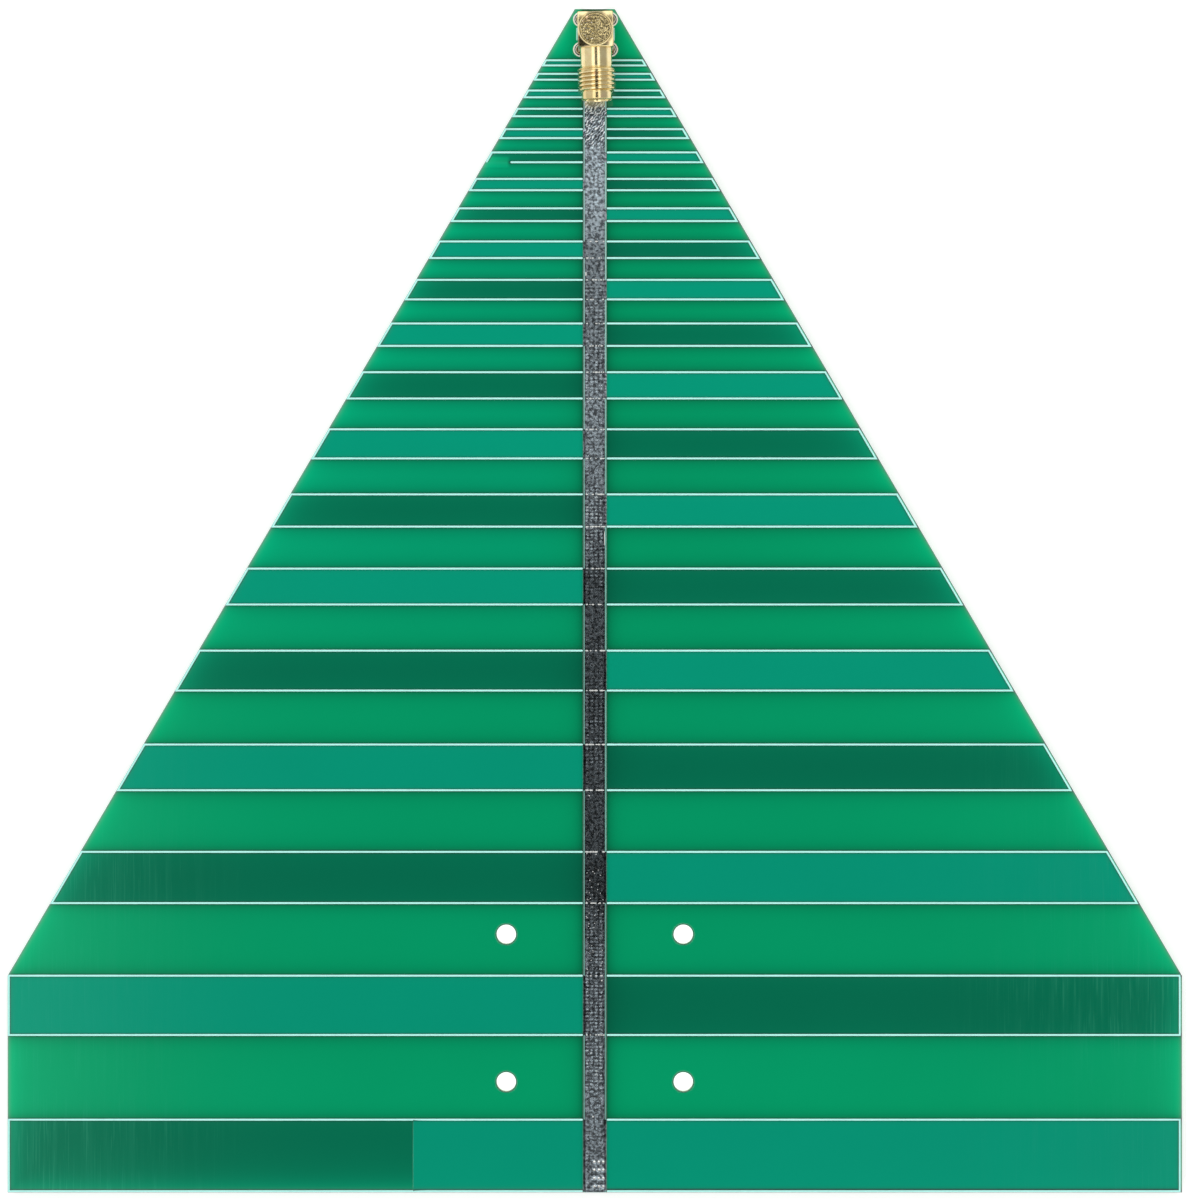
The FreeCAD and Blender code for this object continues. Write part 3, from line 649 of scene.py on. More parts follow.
def lacquer_sheet(name, flip):
    top = 161.8 if flip > 0 else 160.8
    rounds = [(x, y, 1.85, 40) for x, y in HOLES] + [(x, y, 1.27 if flip > 0 else 1.20, 40) for x, y in LEGS] + [(JX, JY, 1.12, 24)]
    loops = [inset_outline(d) for d in (0.0, 0.10, INSET - 0.04, INSET + 0.04)]
    for x, y, r, n in rounds:
        loops.append(circle(x, y, r, n))
        loops.append(circle(x, y, r + 0.10, n))
    w = WINDOW_HALF
    lines = [[(-w, Y_BASE - 1), (-w, top), (w, top), (w, Y_BASE - 1)]]
    w2 = w + 0.09
    lines.append([(-w2, Y_BASE - 1), (-w2, top + 0.09), (w2, top + 0.09), (w2, Y_BASE - 1)])
    edges_y = [e for band in ELEMENTS for e in band]
    for e in edges_y:
        for d in (-0.04, 0.04):
            reach = float(edge_x(e + d)) + 1.0
            lines.append([(-reach, e + d), (reach, e + d)])
    for (t, b), (t2, _) in zip(ELEMENTS, ELEMENTS[1:] + [(None, None)]):
        mids = [(t + b) / 2] + ([(b + t2) / 2] if t2 is not None else [])
        for e in mids:
            reach = float(edge_x(e)) + 1.0
            lines.append([(-reach, e), (reach, e)])
    t, b = ELEMENTS[-1]
    for d in (-0.04, 0.04):
        for s in (-1, 1):
            lines.append([(s * (LAST_STUB + d), t + 0.2), (s * (LAST_STUB + d), Y_BASE - 0.5)])
    if flip < 0:
        lines += [[(JX + s * (0.95 + d), top - 0.5), (JX + s * (0.95 + d), JY - 0.9)] for s in (-1, 1) for d in (-0.04, 0.04)]
    pts, seen, con = [], {}, []

    def pid(p):
        k = (round(float(p[0]), 4), round(float(p[1]), 4))
        if k not in seen:
            seen[k] = len(pts)
            pts.append(k)
        return seen[k]

    for loop in loops:
        ids = [pid(p) for p in loop]
        con += list(zip(ids, ids[1:] + ids[:1]))
    for line in lines:
        ids = [pid(p) for p in line]
        con += list(zip(ids, ids[1:]))
    con = [c for c in con if c[0] != c[1]]
    v, _, f, *_ = delaunay_2d_cdt([Vector(p) for p in pts], con, [], 0, 1e-5)
    v = np.array([(p[0], p[1]) for p in v])
    f = np.array([tuple(t) for t in f])
    c = v[f].mean(axis=1)
    x, y = c[:, 0], c[:, 1]
    keep = (np.abs(x) < edge_x(y)) & (y > Y_BASE) & (y < Y_APEX) & ~((np.abs(x) < w) & (y < top))
    for cx, cy, r, n in rounds:
        keep &= ~in_circle(x, y, cx, cy, r, n)
    a, b_, d_ = v[f[:, 0]], v[f[:, 1]], v[f[:, 2]]
    area = 0.5 * ((b_[:, 0] - a[:, 0]) * (d_[:, 1] - a[:, 1]) - (b_[:, 1] - a[:, 1]) * (d_[:, 0] - a[:, 0]))
    f[area < 0] = f[area < 0][:, ::-1]
    keep &= np.abs(area) > 1e-7
    f = f[keep]
    c = v[f].mean(axis=1)
    near, far = on_foil(c[:, 0], c[:, 1], flip), on_foil(c[:, 0], c[:, 1], -flip)
    kind = np.where(near, 1, np.where(far, 2, 0))
    used = np.unique(f)
    remap = -np.ones(len(v), int)
    remap[used] = np.arange(len(used))
    v, f = v[used], remap[f]
    z = lacquer_z(v[:, 0], v[:, 1], flip)
    # rounded fall-off at every free edge
    count = {}
    for t in f:
        for i in range(3):
            k = (int(t[i]), int(t[(i + 1) % 3]))
            count[k] = count.get(k, 0) + 1
    rim = [k for k in count if (k[1], k[0]) not in count]
    on_rim = np.zeros(len(v), bool)
    for a0, b0 in rim:
        on_rim[a0] = on_rim[b0] = True
    z = np.where(on_rim, z - 0.016, z)
    n = len(v)
    faces = [tuple(t) for t in f] + [tuple(t[::-1] + n) for t in f] + [(b0, a0, a0 + n, b0 + n) for a0, b0 in rim]
    mat = list(kind) + list(kind) + [0] * len(rim)
    gap = np.min(np.abs(v[:, 1][:, None] - np.array(edges_y)[None, :]), axis=1)
    gap = np.maximum(gap - 0.04, 0.0)
    low = T_LAM + 0.001
    verts = np.vstack([np.column_stack([v, z]), np.column_stack([v, np.full(n, low)])])
    if flip < 0:
        verts[:, 2] = T_LAM - verts[:, 2]
        faces = [tuple(reversed(q)) for q in faces]
    return add_mesh(name, verts, faces, [M_BARE, M_NEAR, M_FAR], mat, attrs={"gap": np.concatenate([gap, gap])})


front_lacquer = lacquer_sheet("front_lacquer", 1)
back_lacquer = lacquer_sheet("back_lacquer", -1)


# ------------------------------------------------------------------ legend ink
U = np.array([-1.0, -0.9, -0.66, -0.3, 0.3, 0.66, 0.9, 1.0])
DOME = 0.013


def waver(s, k):
    return 1.0 + 0.05 * noise.noise(Vector((s * 0.55, k * 7.3, 0.5))) + 0.03 * noise.noise(Vector((s * 2.1, k * 3.1, 9.5)))


def ribbon(path, h, key, step=2.6):
    """A low domed line of ink of half width h along a path, with rounded ends."""
    path = [np.array(p, float) for p in path]
    pts, corner = [path[0]], [False]
    for a, b in zip(path, path[1:]):
        run = float(np.linalg.norm(b - a))
        n = max(1, int(run / step))
        stops = {run * i / n for i in range(1, n + 1)}
        if run > 1.6:
            stops |= {0.2, 0.42, 0.7, run - 0.7, run - 0.42, run - 0.2}
        stops = sorted(stops)
        for s in stops:
            pts.append(a + (b - a) * s / run)
            corner.append(s == stops[-1])
    pts = np.array(pts)
    seg = np.diff(pts, axis=0)
    seg /= np.linalg.norm(seg, axis=1)[:, None]
    nrm = np.column_stack([-seg[:, 1], seg[:, 0]])
    mitre = np.vstack([nrm[:1], nrm[:-1] + nrm[1:], nrm[-1:]])
    length = np.linalg.norm(mitre, axis=1)[:, None]
    mitre = mitre / length
    cosine = np.concatenate([[1.0], np.sum(mitre[1:-1] * nrm[1:], axis=1), [1.0]])
    mitre /= np.maximum(cosine, 0.35)[:, None]
    rings = []

    def ring(c, n, w, k, rise=1.0):
        q = c[None, :] + n[None, :] * (h * w * U)[:, None]
        z = np.where(on_foil(q[:, 0], q[:, 1], 1, 0.04), Z_OVER_CU, Z_OVER_LAM)
        zt = z + DOME * rise * (1 - np.abs(U) ** 4)
        top = np.column_stack([q, zt])
        foot = np.array([[*q[-1], z[-1] - 0.004], [*q[0], z[0] - 0.004]])
        rings.append(np.vstack([top, foot]))

    for s, w, rise in ((0.04, 0.28, 0.35), (0.22, 0.62, 0.7), (0.55, 0.90, 0.9)):
        ring(pts[0] + seg[0] * h * s, mitre[0], w, 0, rise)
    run = 0.0
    for i in range(len(pts)):
        c = pts[i]
        if i == 0:
            c = pts[0] + seg[0] * h
        elif i == len(pts) - 1:
            c = pts[-1] - seg[-1] * h
        if i:
            run += float(np.linalg.norm(pts[i] - pts[i - 1]))
        ring(c, mitre[i], waver(run, key) if 0 < i < len(pts) - 1 and not corner[i] else 1.0, i)
    for s, w, rise in ((0.55, 0.90, 0.9), (0.22, 0.62, 0.7), (0.04, 0.28, 0.35)):
        ring(pts[-1] - seg[-1] * h * s, mitre[-1], w, 0, rise)
    m = len(rings[0])
    verts = np.vstack(rings)
    faces = []
    for k in range(len(rings) - 1):
        for j in range(m):
            j2 = (j + 1) % m
            a, b = k * m, (k + 1) * m
            faces.append((a + j, a + j2, b + j2, b + j))
    faces.append(tuple(range(m - 1, -1, -1)))
    faces.append(tuple((len(rings) - 1) * m + j for j in range(m)))
    return verts, outward(verts, faces)


def blob(cx, cy, rx, ry, z, h, n=14):
    prof = [(0.0, h), (0.5, h * 0.92), (0.8, h * 0.62), (0.97, h * 0.18), (1.0, -0.006), (0.0, -0.006)]
    v, f = lathe(prof, n)
    v = np.array(v)
    v[:, 0] = v[:, 0] * rx + cx
    v[:, 1] = v[:, 1] * ry + cy
    v[:, 2] += z
    return v, outward(v, f)


ink = Build()
START, INK_HALF = 2.03, 0.156
for i, (t, b) in enumerate(ELEMENTS):
    for side in (-1, 1):
        d = 0.37 if side > 0 else 0.197
        low = max(b, Y_BASE + 0.03 + 0.175)
        xo = lambda yy: float(edge_x(yy, d))
        path = [(START, t), (xo(t), t)]
        if t > Y_SHOULDER - 0.3 > low:
            path.append((xo(Y_SHOULDER - 0.35), Y_SHOULDER - 0.35))
        path += [(xo(low), low), (START, low)]
        path = [(side * px, py) for px, py in path]
        key = i * 2 + side
        if i == 5 and side < 0:
            ink.add(*ribbon(path[:-1], INK_HALF, key))
            ink.add(*ribbon([(-14.30, low), (-START, low)], INK_HALF, key + 60))
        else:
            ink.add(*ribbon(path, INK_HALF, key))
for side in (-1, 1):
    x = JX + side * 3.143
    ink.add(*ribbon([(x, 166.13), (x, 163.97)], 0.1, 90 + side, step=0.5))
# what is left of the lines that were printed across the tin: dashes on the high spots of the cloth
lines = [(y, 1.0) for i in range(8, 18) for y in ELEMENTS[i]] + [(5.5, 0.8), (-4.55, 0.6)]
for k, (y, much) in enumerate(lines):
    if abs(y - 17.8) < 0.01:
        dashes = ((-1.37, 0.20), (-0.55, 0.20), (-0.20, 0.26), (0.14, 0.18), (0.88, 0.16), (1.52, 0.16))
    else:
        dashes = []
        for j, x0 in enumerate((-1.32, -0.72, -0.30, 0.24, 0.72, 1.12, 1.50)):
            n1 = noise.noise(Vector((k * 1.37 + 0.5, j * 2.11 + 0.3, 0.7)))
            n2 = noise.noise(Vector((k * 2.71 + 0.2, j * 1.43 + 0.9, 4.2)))
            w = (0.20 + 0.30 * n1) * much * (0.8 if y > 90 else 1.0)
            if w > 0.10:
                dashes.append((x0 + 0.14 * n2, w))
    for j, (x, w) in enumerate(dashes):
        n3 = noise.noise(Vector((k * 0.77, j * 3.31, 7.7)))
        tall = min(0.14, 0.085 + 0.16 * w + 0.03 * n3)
        ink.add(*blob(x, y + 0.02 * n3, w, tall, 1.586, 0.016))
for k in range(46):
    r1, r2, r3 = (0.5 + 0.5 * noise.cell(Vector((k * 1.0 + 0.5, q + 0.5, 3.5))) for q in (0.0, 1.0, 2.0))
    y = 16.5 + 15.0 * (r1 - 0.5) + (18.0 * (r2 - 0.5) if k % 3 == 0 else 0.0)
    x = -1.45 + 2.9 * r3 ** 1.5
    ink.add(*blob(x, y, 0.055 + 0.045 * r2, 0.055 + 0.04 * r1, 1.586, 0.012, 8))
for x, y, r in ((1.17, 4.67, 0.14), (-0.31, -18.4, 0.15), (-1.28, 6.6, 0.10), (-0.62, 8.1, 0.09), (0.95, 7.2, 0.08)):
    ink.add(*blob(x, y, r, r * 0.9, 1.586, 0.014, 10))
# painted highlights: white ink blobs stand in for glints on the tin
for x, y, rx, ry in ((-1.50, 124.4, 0.13, 0.36), (1.66, 79.6, 0.07, 1.25), (1.20, 125.2, 0.08, 0.12), (-0.95, 36.0, 0.10, 0.12)):
    ink.add(*blob(x, y, rx, ry, 1.586, 0.014, 14))
legend_ink = ink.done("legend_ink", [M_INK], smooth=True, sharp=50)


# -------------------------------------------------------------- tin on the boom
def grid_shell(xs, ys, keep, ztop, zlow, flip=1):
    """A closed shell over the kept cells of a grid."""
    X, Y = np.meshgrid(xs, ys, indexing="ij")
    nx, ny = X.shape
    xc = (X[:-1, :-1] + X[1:, :-1]) / 2
    yc = (Y[:-1, :-1] + Y[:-1, 1:]) / 2
    k = keep(xc, yc)
    top = ztop(X, Y)
    idx = lambda i, j: i * ny + j
    n = nx * ny
    faces = []
    for i, j in zip(*np.nonzero(k)):
        q = (idx(i, j), idx(i + 1, j), idx(i + 1, j + 1), idx(i, j + 1))
        faces.append(q)
        faces.append(tuple(n + p for p in reversed(q)))
        if i == 0 or not k[i - 1, j]:
            faces.append((q[0], q[3], n + q[3], n + q[0]))
        if i == nx - 2 or not k[i + 1, j]:
            faces.append((q[2], q[1], n + q[1], n + q[2]))
        if j == 0 or not k[i, j - 1]:
            faces.append((q[1], q[0], n + q[0], n + q[1]))
        if j == ny - 2 or not k[i, j + 1]:
            faces.append((q[3], q[2], n + q[2], n + q[3]))
    v = np.vstack([np.column_stack([X.ravel(), Y.ravel(), top.ravel()]),
                   np.column_stack([X.ravel(), Y.ravel(), np.full(n, zlow)])])
    used = np.unique(np.concatenate([np.array(f) for f in faces]))
    remap = -np.ones(len(v), int)
    remap[used] = np.arange(len(used))
    faces = [tuple(int(remap[p]) for p in f) for f in faces]
    v = v[used]
    if flip < 0:
        v[:, 2] = T_LAM - v[:, 2]
        faces = [tuple(reversed(f)) for f in faces]
    return v, faces


def strip_shell(xs, ys, keep, ztop, zlow, flip=1):
    """Like grid_shell for a strip whose rows have no holes, with one flat face a row below."""
    X, Y = np.meshgrid(xs, ys, indexing="ij")
    nx, ny = X.shape
    k = keep((X[:-1, :-1] + X[1:, :-1]) / 2, (Y[:-1, :-1] + Y[:-1, 1:]) / 2)
    first = np.argmax(k, axis=0)
    last = nx - 1 - np.argmax(k[::-1], axis=0)
    top = ztop(X, Y)
    n = nx * ny
    idx = lambda i, j: int(i) * ny + int(j)
    ends = [set() for _ in range(ny)]
    for j in range(ny - 1):
        for jj in (j, j + 1):
            ends[jj] |= {int(first[j]), int(last[j])}
    faces = []
    for j in range(ny - 1):
        lo, hi = int(first[j]), int(last[j])
        for i in range(lo, hi):
            faces.append((idx(i, j), idx(i + 1, j), idx(i + 1, j + 1), idx(i, j + 1)))
        near = [i for i in sorted(ends[j]) if lo <= i <= hi]
        far = [i for i in sorted(ends[j + 1]) if lo <= i <= hi]
        faces.append(tuple([n + idx(i, j + 1) for i in far] + [n + idx(i, j) for i in reversed(near)]))
        faces.append((idx(lo, j), idx(lo, j + 1), n + idx(lo, j + 1), n + idx(lo, j)))
        faces.append((idx(hi, j + 1), idx(hi, j), n + idx(hi, j), n + idx(hi, j + 1)))

    def wall(j, a, b, outer):
        """upright face along row line j from column a to b; the foot keeps only the row ends"""
        stops = [i for i in sorted(ends[j]) if a <= i <= b]
        for s0, s1 in zip(stops, stops[1:]):
            up = [idx(i, j) for i in range(s0, s1 + 1)]
            face = tuple([n + idx(s0, j), n + idx(s1, j)] + up[::-1])
            faces.append(face if outer < 0 else tuple(reversed(face)))

    wall(0, int(first[0]), int(last[0]), -1)
    wall(ny - 1, int(first[-1]), int(last[-1]), 1)
    for j in range(1, ny - 1):
        a0, b0, a1, b1 = int(first[j - 1]), int(last[j - 1]), int(first[j]), int(last[j])
        if a1 < a0:
            wall(j, a1, a0, -1)
        if a1 > a0:
            wall(j, a0, a1, 1)
        if b1 > b0:
            wall(j, b0, b1, -1)
        if b1 < b0:
            wall(j, b1, b0, 1)
    v = np.vstack([np.column_stack([X.ravel(), Y.ravel(), top.ravel()]),
                   np.column_stack([X.ravel(), Y.ravel(), np.full(n, zlow)])])
    used = np.unique(np.concatenate([np.array(f) for f in faces]))
    remap = -np.ones(len(v), int)
    remap[used] = np.arange(len(used))
    faces = [tuple(int(remap[p]) for p in f) for f in faces]
    v = v[used]
    if flip < 0:
        v[:, 2] = T_LAM - v[:, 2]
        faces = [tuple(reversed(f)) for f in faces]
    return v, faces


def fractal(x, y, seed, octaves=2):
    flat = np.zeros(x.size)
    xf, yf = x.ravel().tolist(), y.ravel().tolist()
    for k in range(len(flat)):
        s, amp = 0.0, 1.0
        for o in range(octaves):
            m = 2.0 ** o
            s += amp * noise.noise(Vector((xf[k] * m, yf[k] * m, seed + 3.7 * o)))
            amp *= 0.6
        flat[k] = s
    return flat.reshape(x.shape)


def tin_height(X, Y, flip):
    ax = np.abs(X)
    joined = on_foil(np.sign(X) * 2.6, Y, flip)
    limit = np.where(joined, WINDOW_HALF, BOOM_HALF)
    rim = np.clip((limit - ax) / 0.16, 0, 1)
    cloth = 0.0030 * np.cos(2 * math.pi * (X + 1.32) / 0.78) + 0.0024 * np.cos(2 * math.pi * Y / 0.575)
    # hot-air levelled tin lies in slanted ripples near the jack
    lively = np.clip((Y - 144.5) / 3, 0, 1)
    slanted = 0.0065 * lively * np.sin(2 * math.pi * (X * 0.9 + Y * 1.15 + 0.25 * np.sin(Y * 1.7)))
    grain = 0.0042 * fractal(X * 2.6, Y * 2.3, 4.0 + flip)
    return Z_CU + 0.004 + 0.012 * np.sqrt(rim) + (cloth + slanted + grain) * rim


def tin_strip(name, flip):
    top = 161.78 if flip > 0 else 160.78
    cell = 0.101 if flip > 0 else 0.22
    out = Build()
    keep = lambda x, y: on_foil(x, y, flip) & (np.abs(x) < WINDOW_HALF) & (y < top)
    edges = sorted([e for band in ELEMENTS for e in band if e > -25.0])
    marks = [-25.2] + edges + [top]
    ys = [marks[0]]
    for a, b in zip(marks, marks[1:]):
        n = max(1, int(math.ceil((b - a) / cell)))
        ys += [a + (b - a) * i / n for i in range(1, n + 1)]
    n = int(math.ceil(BOOM_HALF / cell))
    half = [BOOM_HALF * i / n for i in range(n)] + [BOOM_HALF, 1.84, 1.97]
    xs = [-a for a in reversed(half[1:])] + half
    height = lambda X, Y: tin_height(X, Y, flip)
    v, f = strip_shell(np.array(xs), np.array(ys), keep, height, Z_CU - 0.004, flip)
    out.add(v, f)
    # round the small holes the grid is finer
    fine = 0.07 if flip > 0 else 0.11
    xs2 = np.unique(np.round(np.concatenate([np.arange(-1.97, -0.6, 0.10), [-1.71], np.arange(-0.56, 1.97, fine), [1.71, 1.97]]), 4))
    ys2 = np.unique(np.round(np.concatenate([np.arange(-31.19, -25.2, fine), [-25.2, -31.02 + 0.08]]), 4))
    open_ = lambda x, y: np.min([np.hypot(x - a, y - b) for a, b in VIAS], axis=0) > 0.27
    v, f = grid_shell(xs2, ys2, lambda x, y: keep(x, y) & open_(x, y), height, Z_CU - 0.004, flip)
    out.add(v, f)
    for a, b in VIAS:
        v, f = lathe([(0.20, 1.545), (0.20, 1.584), (0.225, 1.592), (0.27, 1.596), (0.33, 1.594), (0.39, 1.588), (0.42, 1.575), (0.42, 1.55)], 28, closed=True)
        v = np.array(v)
        v[:, 0] += a
        v[:, 1] += b
        if flip < 0:
            v[:, 2] = T_LAM - v[:, 2]
        out.add(v, outward(v, f))
    return out.done(name, [M_TIN], smooth=True, sharp=40)


front_tin = tin_strip("front_tin", 1)
back_tin = tin_strip("back_tin", -1)

# ----------------------------------------------------------------- jack's body
PITCH, THREAD_R, DEPTH, GROOVE0 = 0.7056, 3.175, 0.35, 8.83


def thread_shape(phase):
    """1 in the groove, 0 on the crest; the groove is centred on phase 0."""
    d = np.abs((phase + 0.5) % 1.0 - 0.5) * 2.0
    return np.clip((0.60 - d) / 0.26, 0, 1)


def barrel():
    rows = [(2.0, 2.68, 0)]
    rows += [(a, 2.68, 0) for a in np.linspace(2.6, 6.10, 8)]
    rows += [(6.16, 2.66, 0), (6.22, 2.60, 0), (6.28, 2.60, 0), (6.33, 2.72, 0)]
    for a in np.linspace(6.40, 10.12, 190):
        rows.append((a, THREAD_R, 1))
    rows += [(10.16, 2.98, 0), (10.20, 2.72, 0), (10.24, 2.50, 0), (10.34, 2.49, 0), (10.38, 2.60, 0), (10.43, 2.62, 0)]
    rows += [(a, 2.62, 0) for a in np.linspace(10.55, 11.50, 5)]
    rows += [(11.56, 2.605, 0), (11.62, 2.56, 0), (11.68, 2.49, 0), (11.70, 2.44, 0), (11.70, 2.38, 0),
             (11.68, 2.33, 0), (11.62, 2.30, 0)]
    rows += [(a, 2.30, 0) for a in (11.2, 10.6, 10.0)]
    rows += [(9.80, 2.30, 0), (9.80, 2.052, 0), (9.0, 2.052, 0), (5.0, 2.052, 0), (2.0, 2.052, 0)]
    n = 160
    th = np.linspace(0, 2 * math.pi, n, endpoint=False)
    rings = []
    for a, r, cut in rows:
        rr = np.full(n, r)
        if cut:
            phase = (a - GROOVE0) / PITCH + th / (2 * math.pi)
            base = 2.60 + (THREAD_R - 2.60) * np.clip((a - 6.33) / 0.17, 0, 1)
            base = np.minimum(base, 2.98 + (THREAD_R - 2.98) * np.clip((10.16 - a) / 0.12, 0, 1))
            run_in = 0.35 + 0.65 * np.clip((a - 6.55) / 0.55, 0, 1)
            rr = np.minimum(base, THREAD_R - DEPTH * run_in * thread_shape(phase))
            rr = np.minimum(rr, base)
        rings.append(np.column_stack([rr * np.sin(th), np.full(n, -a), AXIS_Z + rr * np.cos(th)]))
    verts = np.vstack(rings)
    # painted shade: deep in the thread, and a little on the end of the barrel
    groove = np.concatenate([
        np.clip((THREAD_R - 0.04 - np.hypot(r[:, 0], r[:, 2] - AXIS_Z)) / (DEPTH - 0.06), 0, 1) if cut
        else np.full(n, 0.62 if a > 10.3 and r0 > 2.4 else 0.0) for r, (a, r0, cut) in zip(rings, rows)])
    faces = []
    k = len(rings)
    for i in range(k):
        i2 = (i + 1) % k
        for j in range(n):
            j2 = (j + 1) % n
            faces.append((i * n + j, i * n + j2, i2 * n + j2, i2 * n + j))
    return verts, outward(verts, faces), groove


def block():
    levels = [(2.90, 0.20, 1.586), (2.97, 0.23, 1.62), (3.0, 0.25, 1.68)]
    levels += [(3.0, 0.25, z) for z in np.linspace(2.5, 9.60, 7)]
    levels += [(2.995, 0.25, 9.70), (2.975, 0.24, 9.77), (2.94, 0.22, 9.815), (2.89, 0.20, 9.842), (2.83, 0.18, 9.85)]
    for h in (2.70, 2.55, 2.40, 2.20, 2.0, 1.7, 1.3, 0.8, 0.3):
        levels.append((h, 0.16 * h / 2.7, 9.85))
    verts, faces = rounded_rings(levels, 4, 10)
    v = np.array(verts)
    up = v[:, 2] > 9.69
    x, y = v[:, 0], v[:, 1]
    rear = np.clip((y - 1.4) / 1.6, 0, 1) ** 2 * 0.15
    right = np.clip((x - 1.6) / 1.4, 0, 1) ** 2 * np.clip(-(y + 0.8) / 1.5, 0, 1) * 0.14
    v[:, 2] -= np.where(up, rear + right, 0)
    return v, faces


def painted_jack_shade_at(v):
    """Painted shade: a dark rear arc round the disc, a dark front left corner of the block and a dark seam inside the
    ring, in the jack's own axes.
    """
    x, y, z = np.asarray(v, float).T
    rear = np.clip((1.65 - np.abs(x)) / 0.35, 0, 1) * np.clip((y - 2.2) / 0.2, 0, 1) * 0.62
    corner = np.clip((-x - 1.5) / 0.4, 0, 1) * np.clip((-y - 0.7) / 0.5, 0, 1) * (np.hypot(x, y) > 2.97) * 0.85
    seam = (np.hypot(x, y) < 2.70) * (np.hypot(x, y) > 2.62) * 0.6
    return np.where(z > 9.3, np.maximum(np.maximum(rear, corner), seam), 0.0)


body = Build()
v, f, groove = barrel()
painted_jack_shade = [np.zeros(len(v))]
body.add(to_jack(v), f)
v, f = block()
painted_jack_shade.append(painted_jack_shade_at(v))
body.add(to_jack(v), f)
v, f = lathe([(2.96, 9.60), (2.955, 9.80), (2.93, 9.87), (2.89, 9.94), (2.84, 9.985), (2.785, 10.0), (2.73, 9.99),
              (2.69, 9.96), (2.668, 9.90), (2.66, 9.80), (2.66, 9.45), (2.90, 9.45)], 160, closed=True)
painted_jack_shade.append(painted_jack_shade_at(v))
body.add(to_jack(v), outward(v, f))
for sx in (-1, 1):
    for sy in (-1, 1):
        levels = [(0.27, 0.05, -1.50), (0.34, 0.07, -1.47), (0.41, 0.08, -1.38), (0.44, 0.09, -1.28),
                  (0.44, 0.09, -0.6), (0.44, 0.09, 0.4), (0.44, 0.09, 1.2), (0.44, 0.09, 1.95)]
        v, f = rounded_rings(levels, 3, 3)
        v = np.array(v) + np.array([sx * LEG, sy * LEG, 0])
        painted_jack_shade.append(np.zeros(len(v)))
        body.add(to_jack(v), f)
groove = np.concatenate([groove, np.zeros(sum(len(a) for a in body.v[1:]))])
jack_body = body.done("jack_body", [M_GOLD], smooth=True, sharp=32,
                      attrs={"groove": groove, "painted_jack_shade": np.concatenate(painted_jack_shade)})


def cap():
    """The pressed-in disc, with the lumpy face it was cast with."""
    n = 200
    radii = list(np.linspace(0.06, 2.46, 48)) + [2.50, 2.54, 2.575, 2.60, 2.615, 2.62]
    drop = [0.0] * 48 + [0.003, 0.010, 0.024, 0.045, 0.08, 0.14]
    verts, rings = [(0, 0, 9.945)], []
    for r, d in zip(radii, drop):
        rings.append(list(range(len(verts), len(verts) + n)))
        for i in range(n):
            a = 2 * math.pi * i / n
            x, y = r * math.cos(a), r * math.sin(a)
            fade = min(1.0, (2.62 - r) / 0.25)
            h = 0.012 * noise.noise(Vector((x * 1.4, y * 1.4, 1.3))) + 0.017 * noise.noise(Vector((x * 3.0, y * 3.0, 5.1)))
            h += 0.010 * noise.noise(Vector((x * 6.0, y * 6.0, 8.2)))
            verts.append((x, y, min(9.93 - d + h * fade, 9.975)))
    low = len(verts)
    verts += [(2.62 * math.cos(2 * math.pi * i / n), 2.62 * math.sin(2 * math.pi * i / n), 9.42) for i in range(n)]
    faces = [(0, rings[0][i], rings[0][(i + 1) % n]) for i in range(n)]
    for a, b in zip(rings, rings[1:] + [list(range(low, low + n))]):
        for i in range(n):
            j = (i + 1) % n
            faces.append((a[i], b[i], b[j], a[j]))
    faces.append(tuple(range(low + n - 1, low - 1, -1)))
    v = np.array(verts)
    v[0, 2] = v[rings[0], 2].mean()
    return v, outward(v, faces)


b = Build()
v, f = cap()
b.add(to_jack(v), f)
jack_cap = b.done("jack_cap", [M_CAP], smooth=True, sharp=40)


# ------------------------------------------------------------------ solder
def uneven(seed, amount):
    def go(r, z, a):
        k = noise.noise(Vector((math.cos(a) * 1.1 + seed, math.sin(a) * 1.1, z * 1.5)))
        return r * (1 + amount * k * min(1.0, abs(z) * 3.0 if z < 0 else 0.3)), z
    return go


solder = Build()
for k, (x, y) in enumerate(LEGS):
    v, f = lathe([(0.0, 1.47), (0.40, 1.475), (0.60, 1.49), (0.70, 1.525), (0.745, 1.562), (0.775, 1.583), (0.80, 1.589), (0.825, 1.590),
                  (0.85, 1.585), (0.865, 1.583), (0.88, 1.5825), (1.015, 1.5825), (1.025, 1.582), (1.035, 1.576), (1.04, 1.54), (0.84, 1.53), (0.84, 1.40), (0.0, 1.40)], 40)
    v = np.array(v) + np.array([x, y, 0])
    solder.add(v, outward(v, f))
    v, f = lathe([(0.0, -0.02), (1.04, -0.02), (1.04, -0.036), (1.025, -0.055), (0.96, -0.10), (0.885, -0.17), (0.81, -0.28),
                  (0.75, -0.42), (0.705, -0.58), (0.675, -0.75), (0.65, -0.90), (0.60, -0.97), (0.50, -1.00), (0.0, -1.01)],
                 40, wobble=uneven(k * 3.1, 0.05))
    v = np.array(v) + np.array([x, y, 0])
    solder.add(v, outward(v, f))
leg_solder = solder.done("leg_solder", [M_SOLDER], smooth=True, sharp=50)

solder = Build()
v, f = lathe([(0.0, -0.02), (1.0, -0.02), (1.0, -0.036), (0.985, -0.055), (0.92, -0.11), (0.84, -0.20), (0.76, -0.34),
              (0.69, -0.52), (0.63, -0.72), (0.585, -0.92), (0.55, -1.06), (0.50, -1.10), (0.0, -1.10)],
             40, wobble=uneven(21.0, 0.05))
v = np.array(v) + np.array([JX, JY, 0])
solder.add(v, outward(v, f))
pin_solder = solder.done("pin_solder", [M_SOLDER], smooth=True, sharp=50)

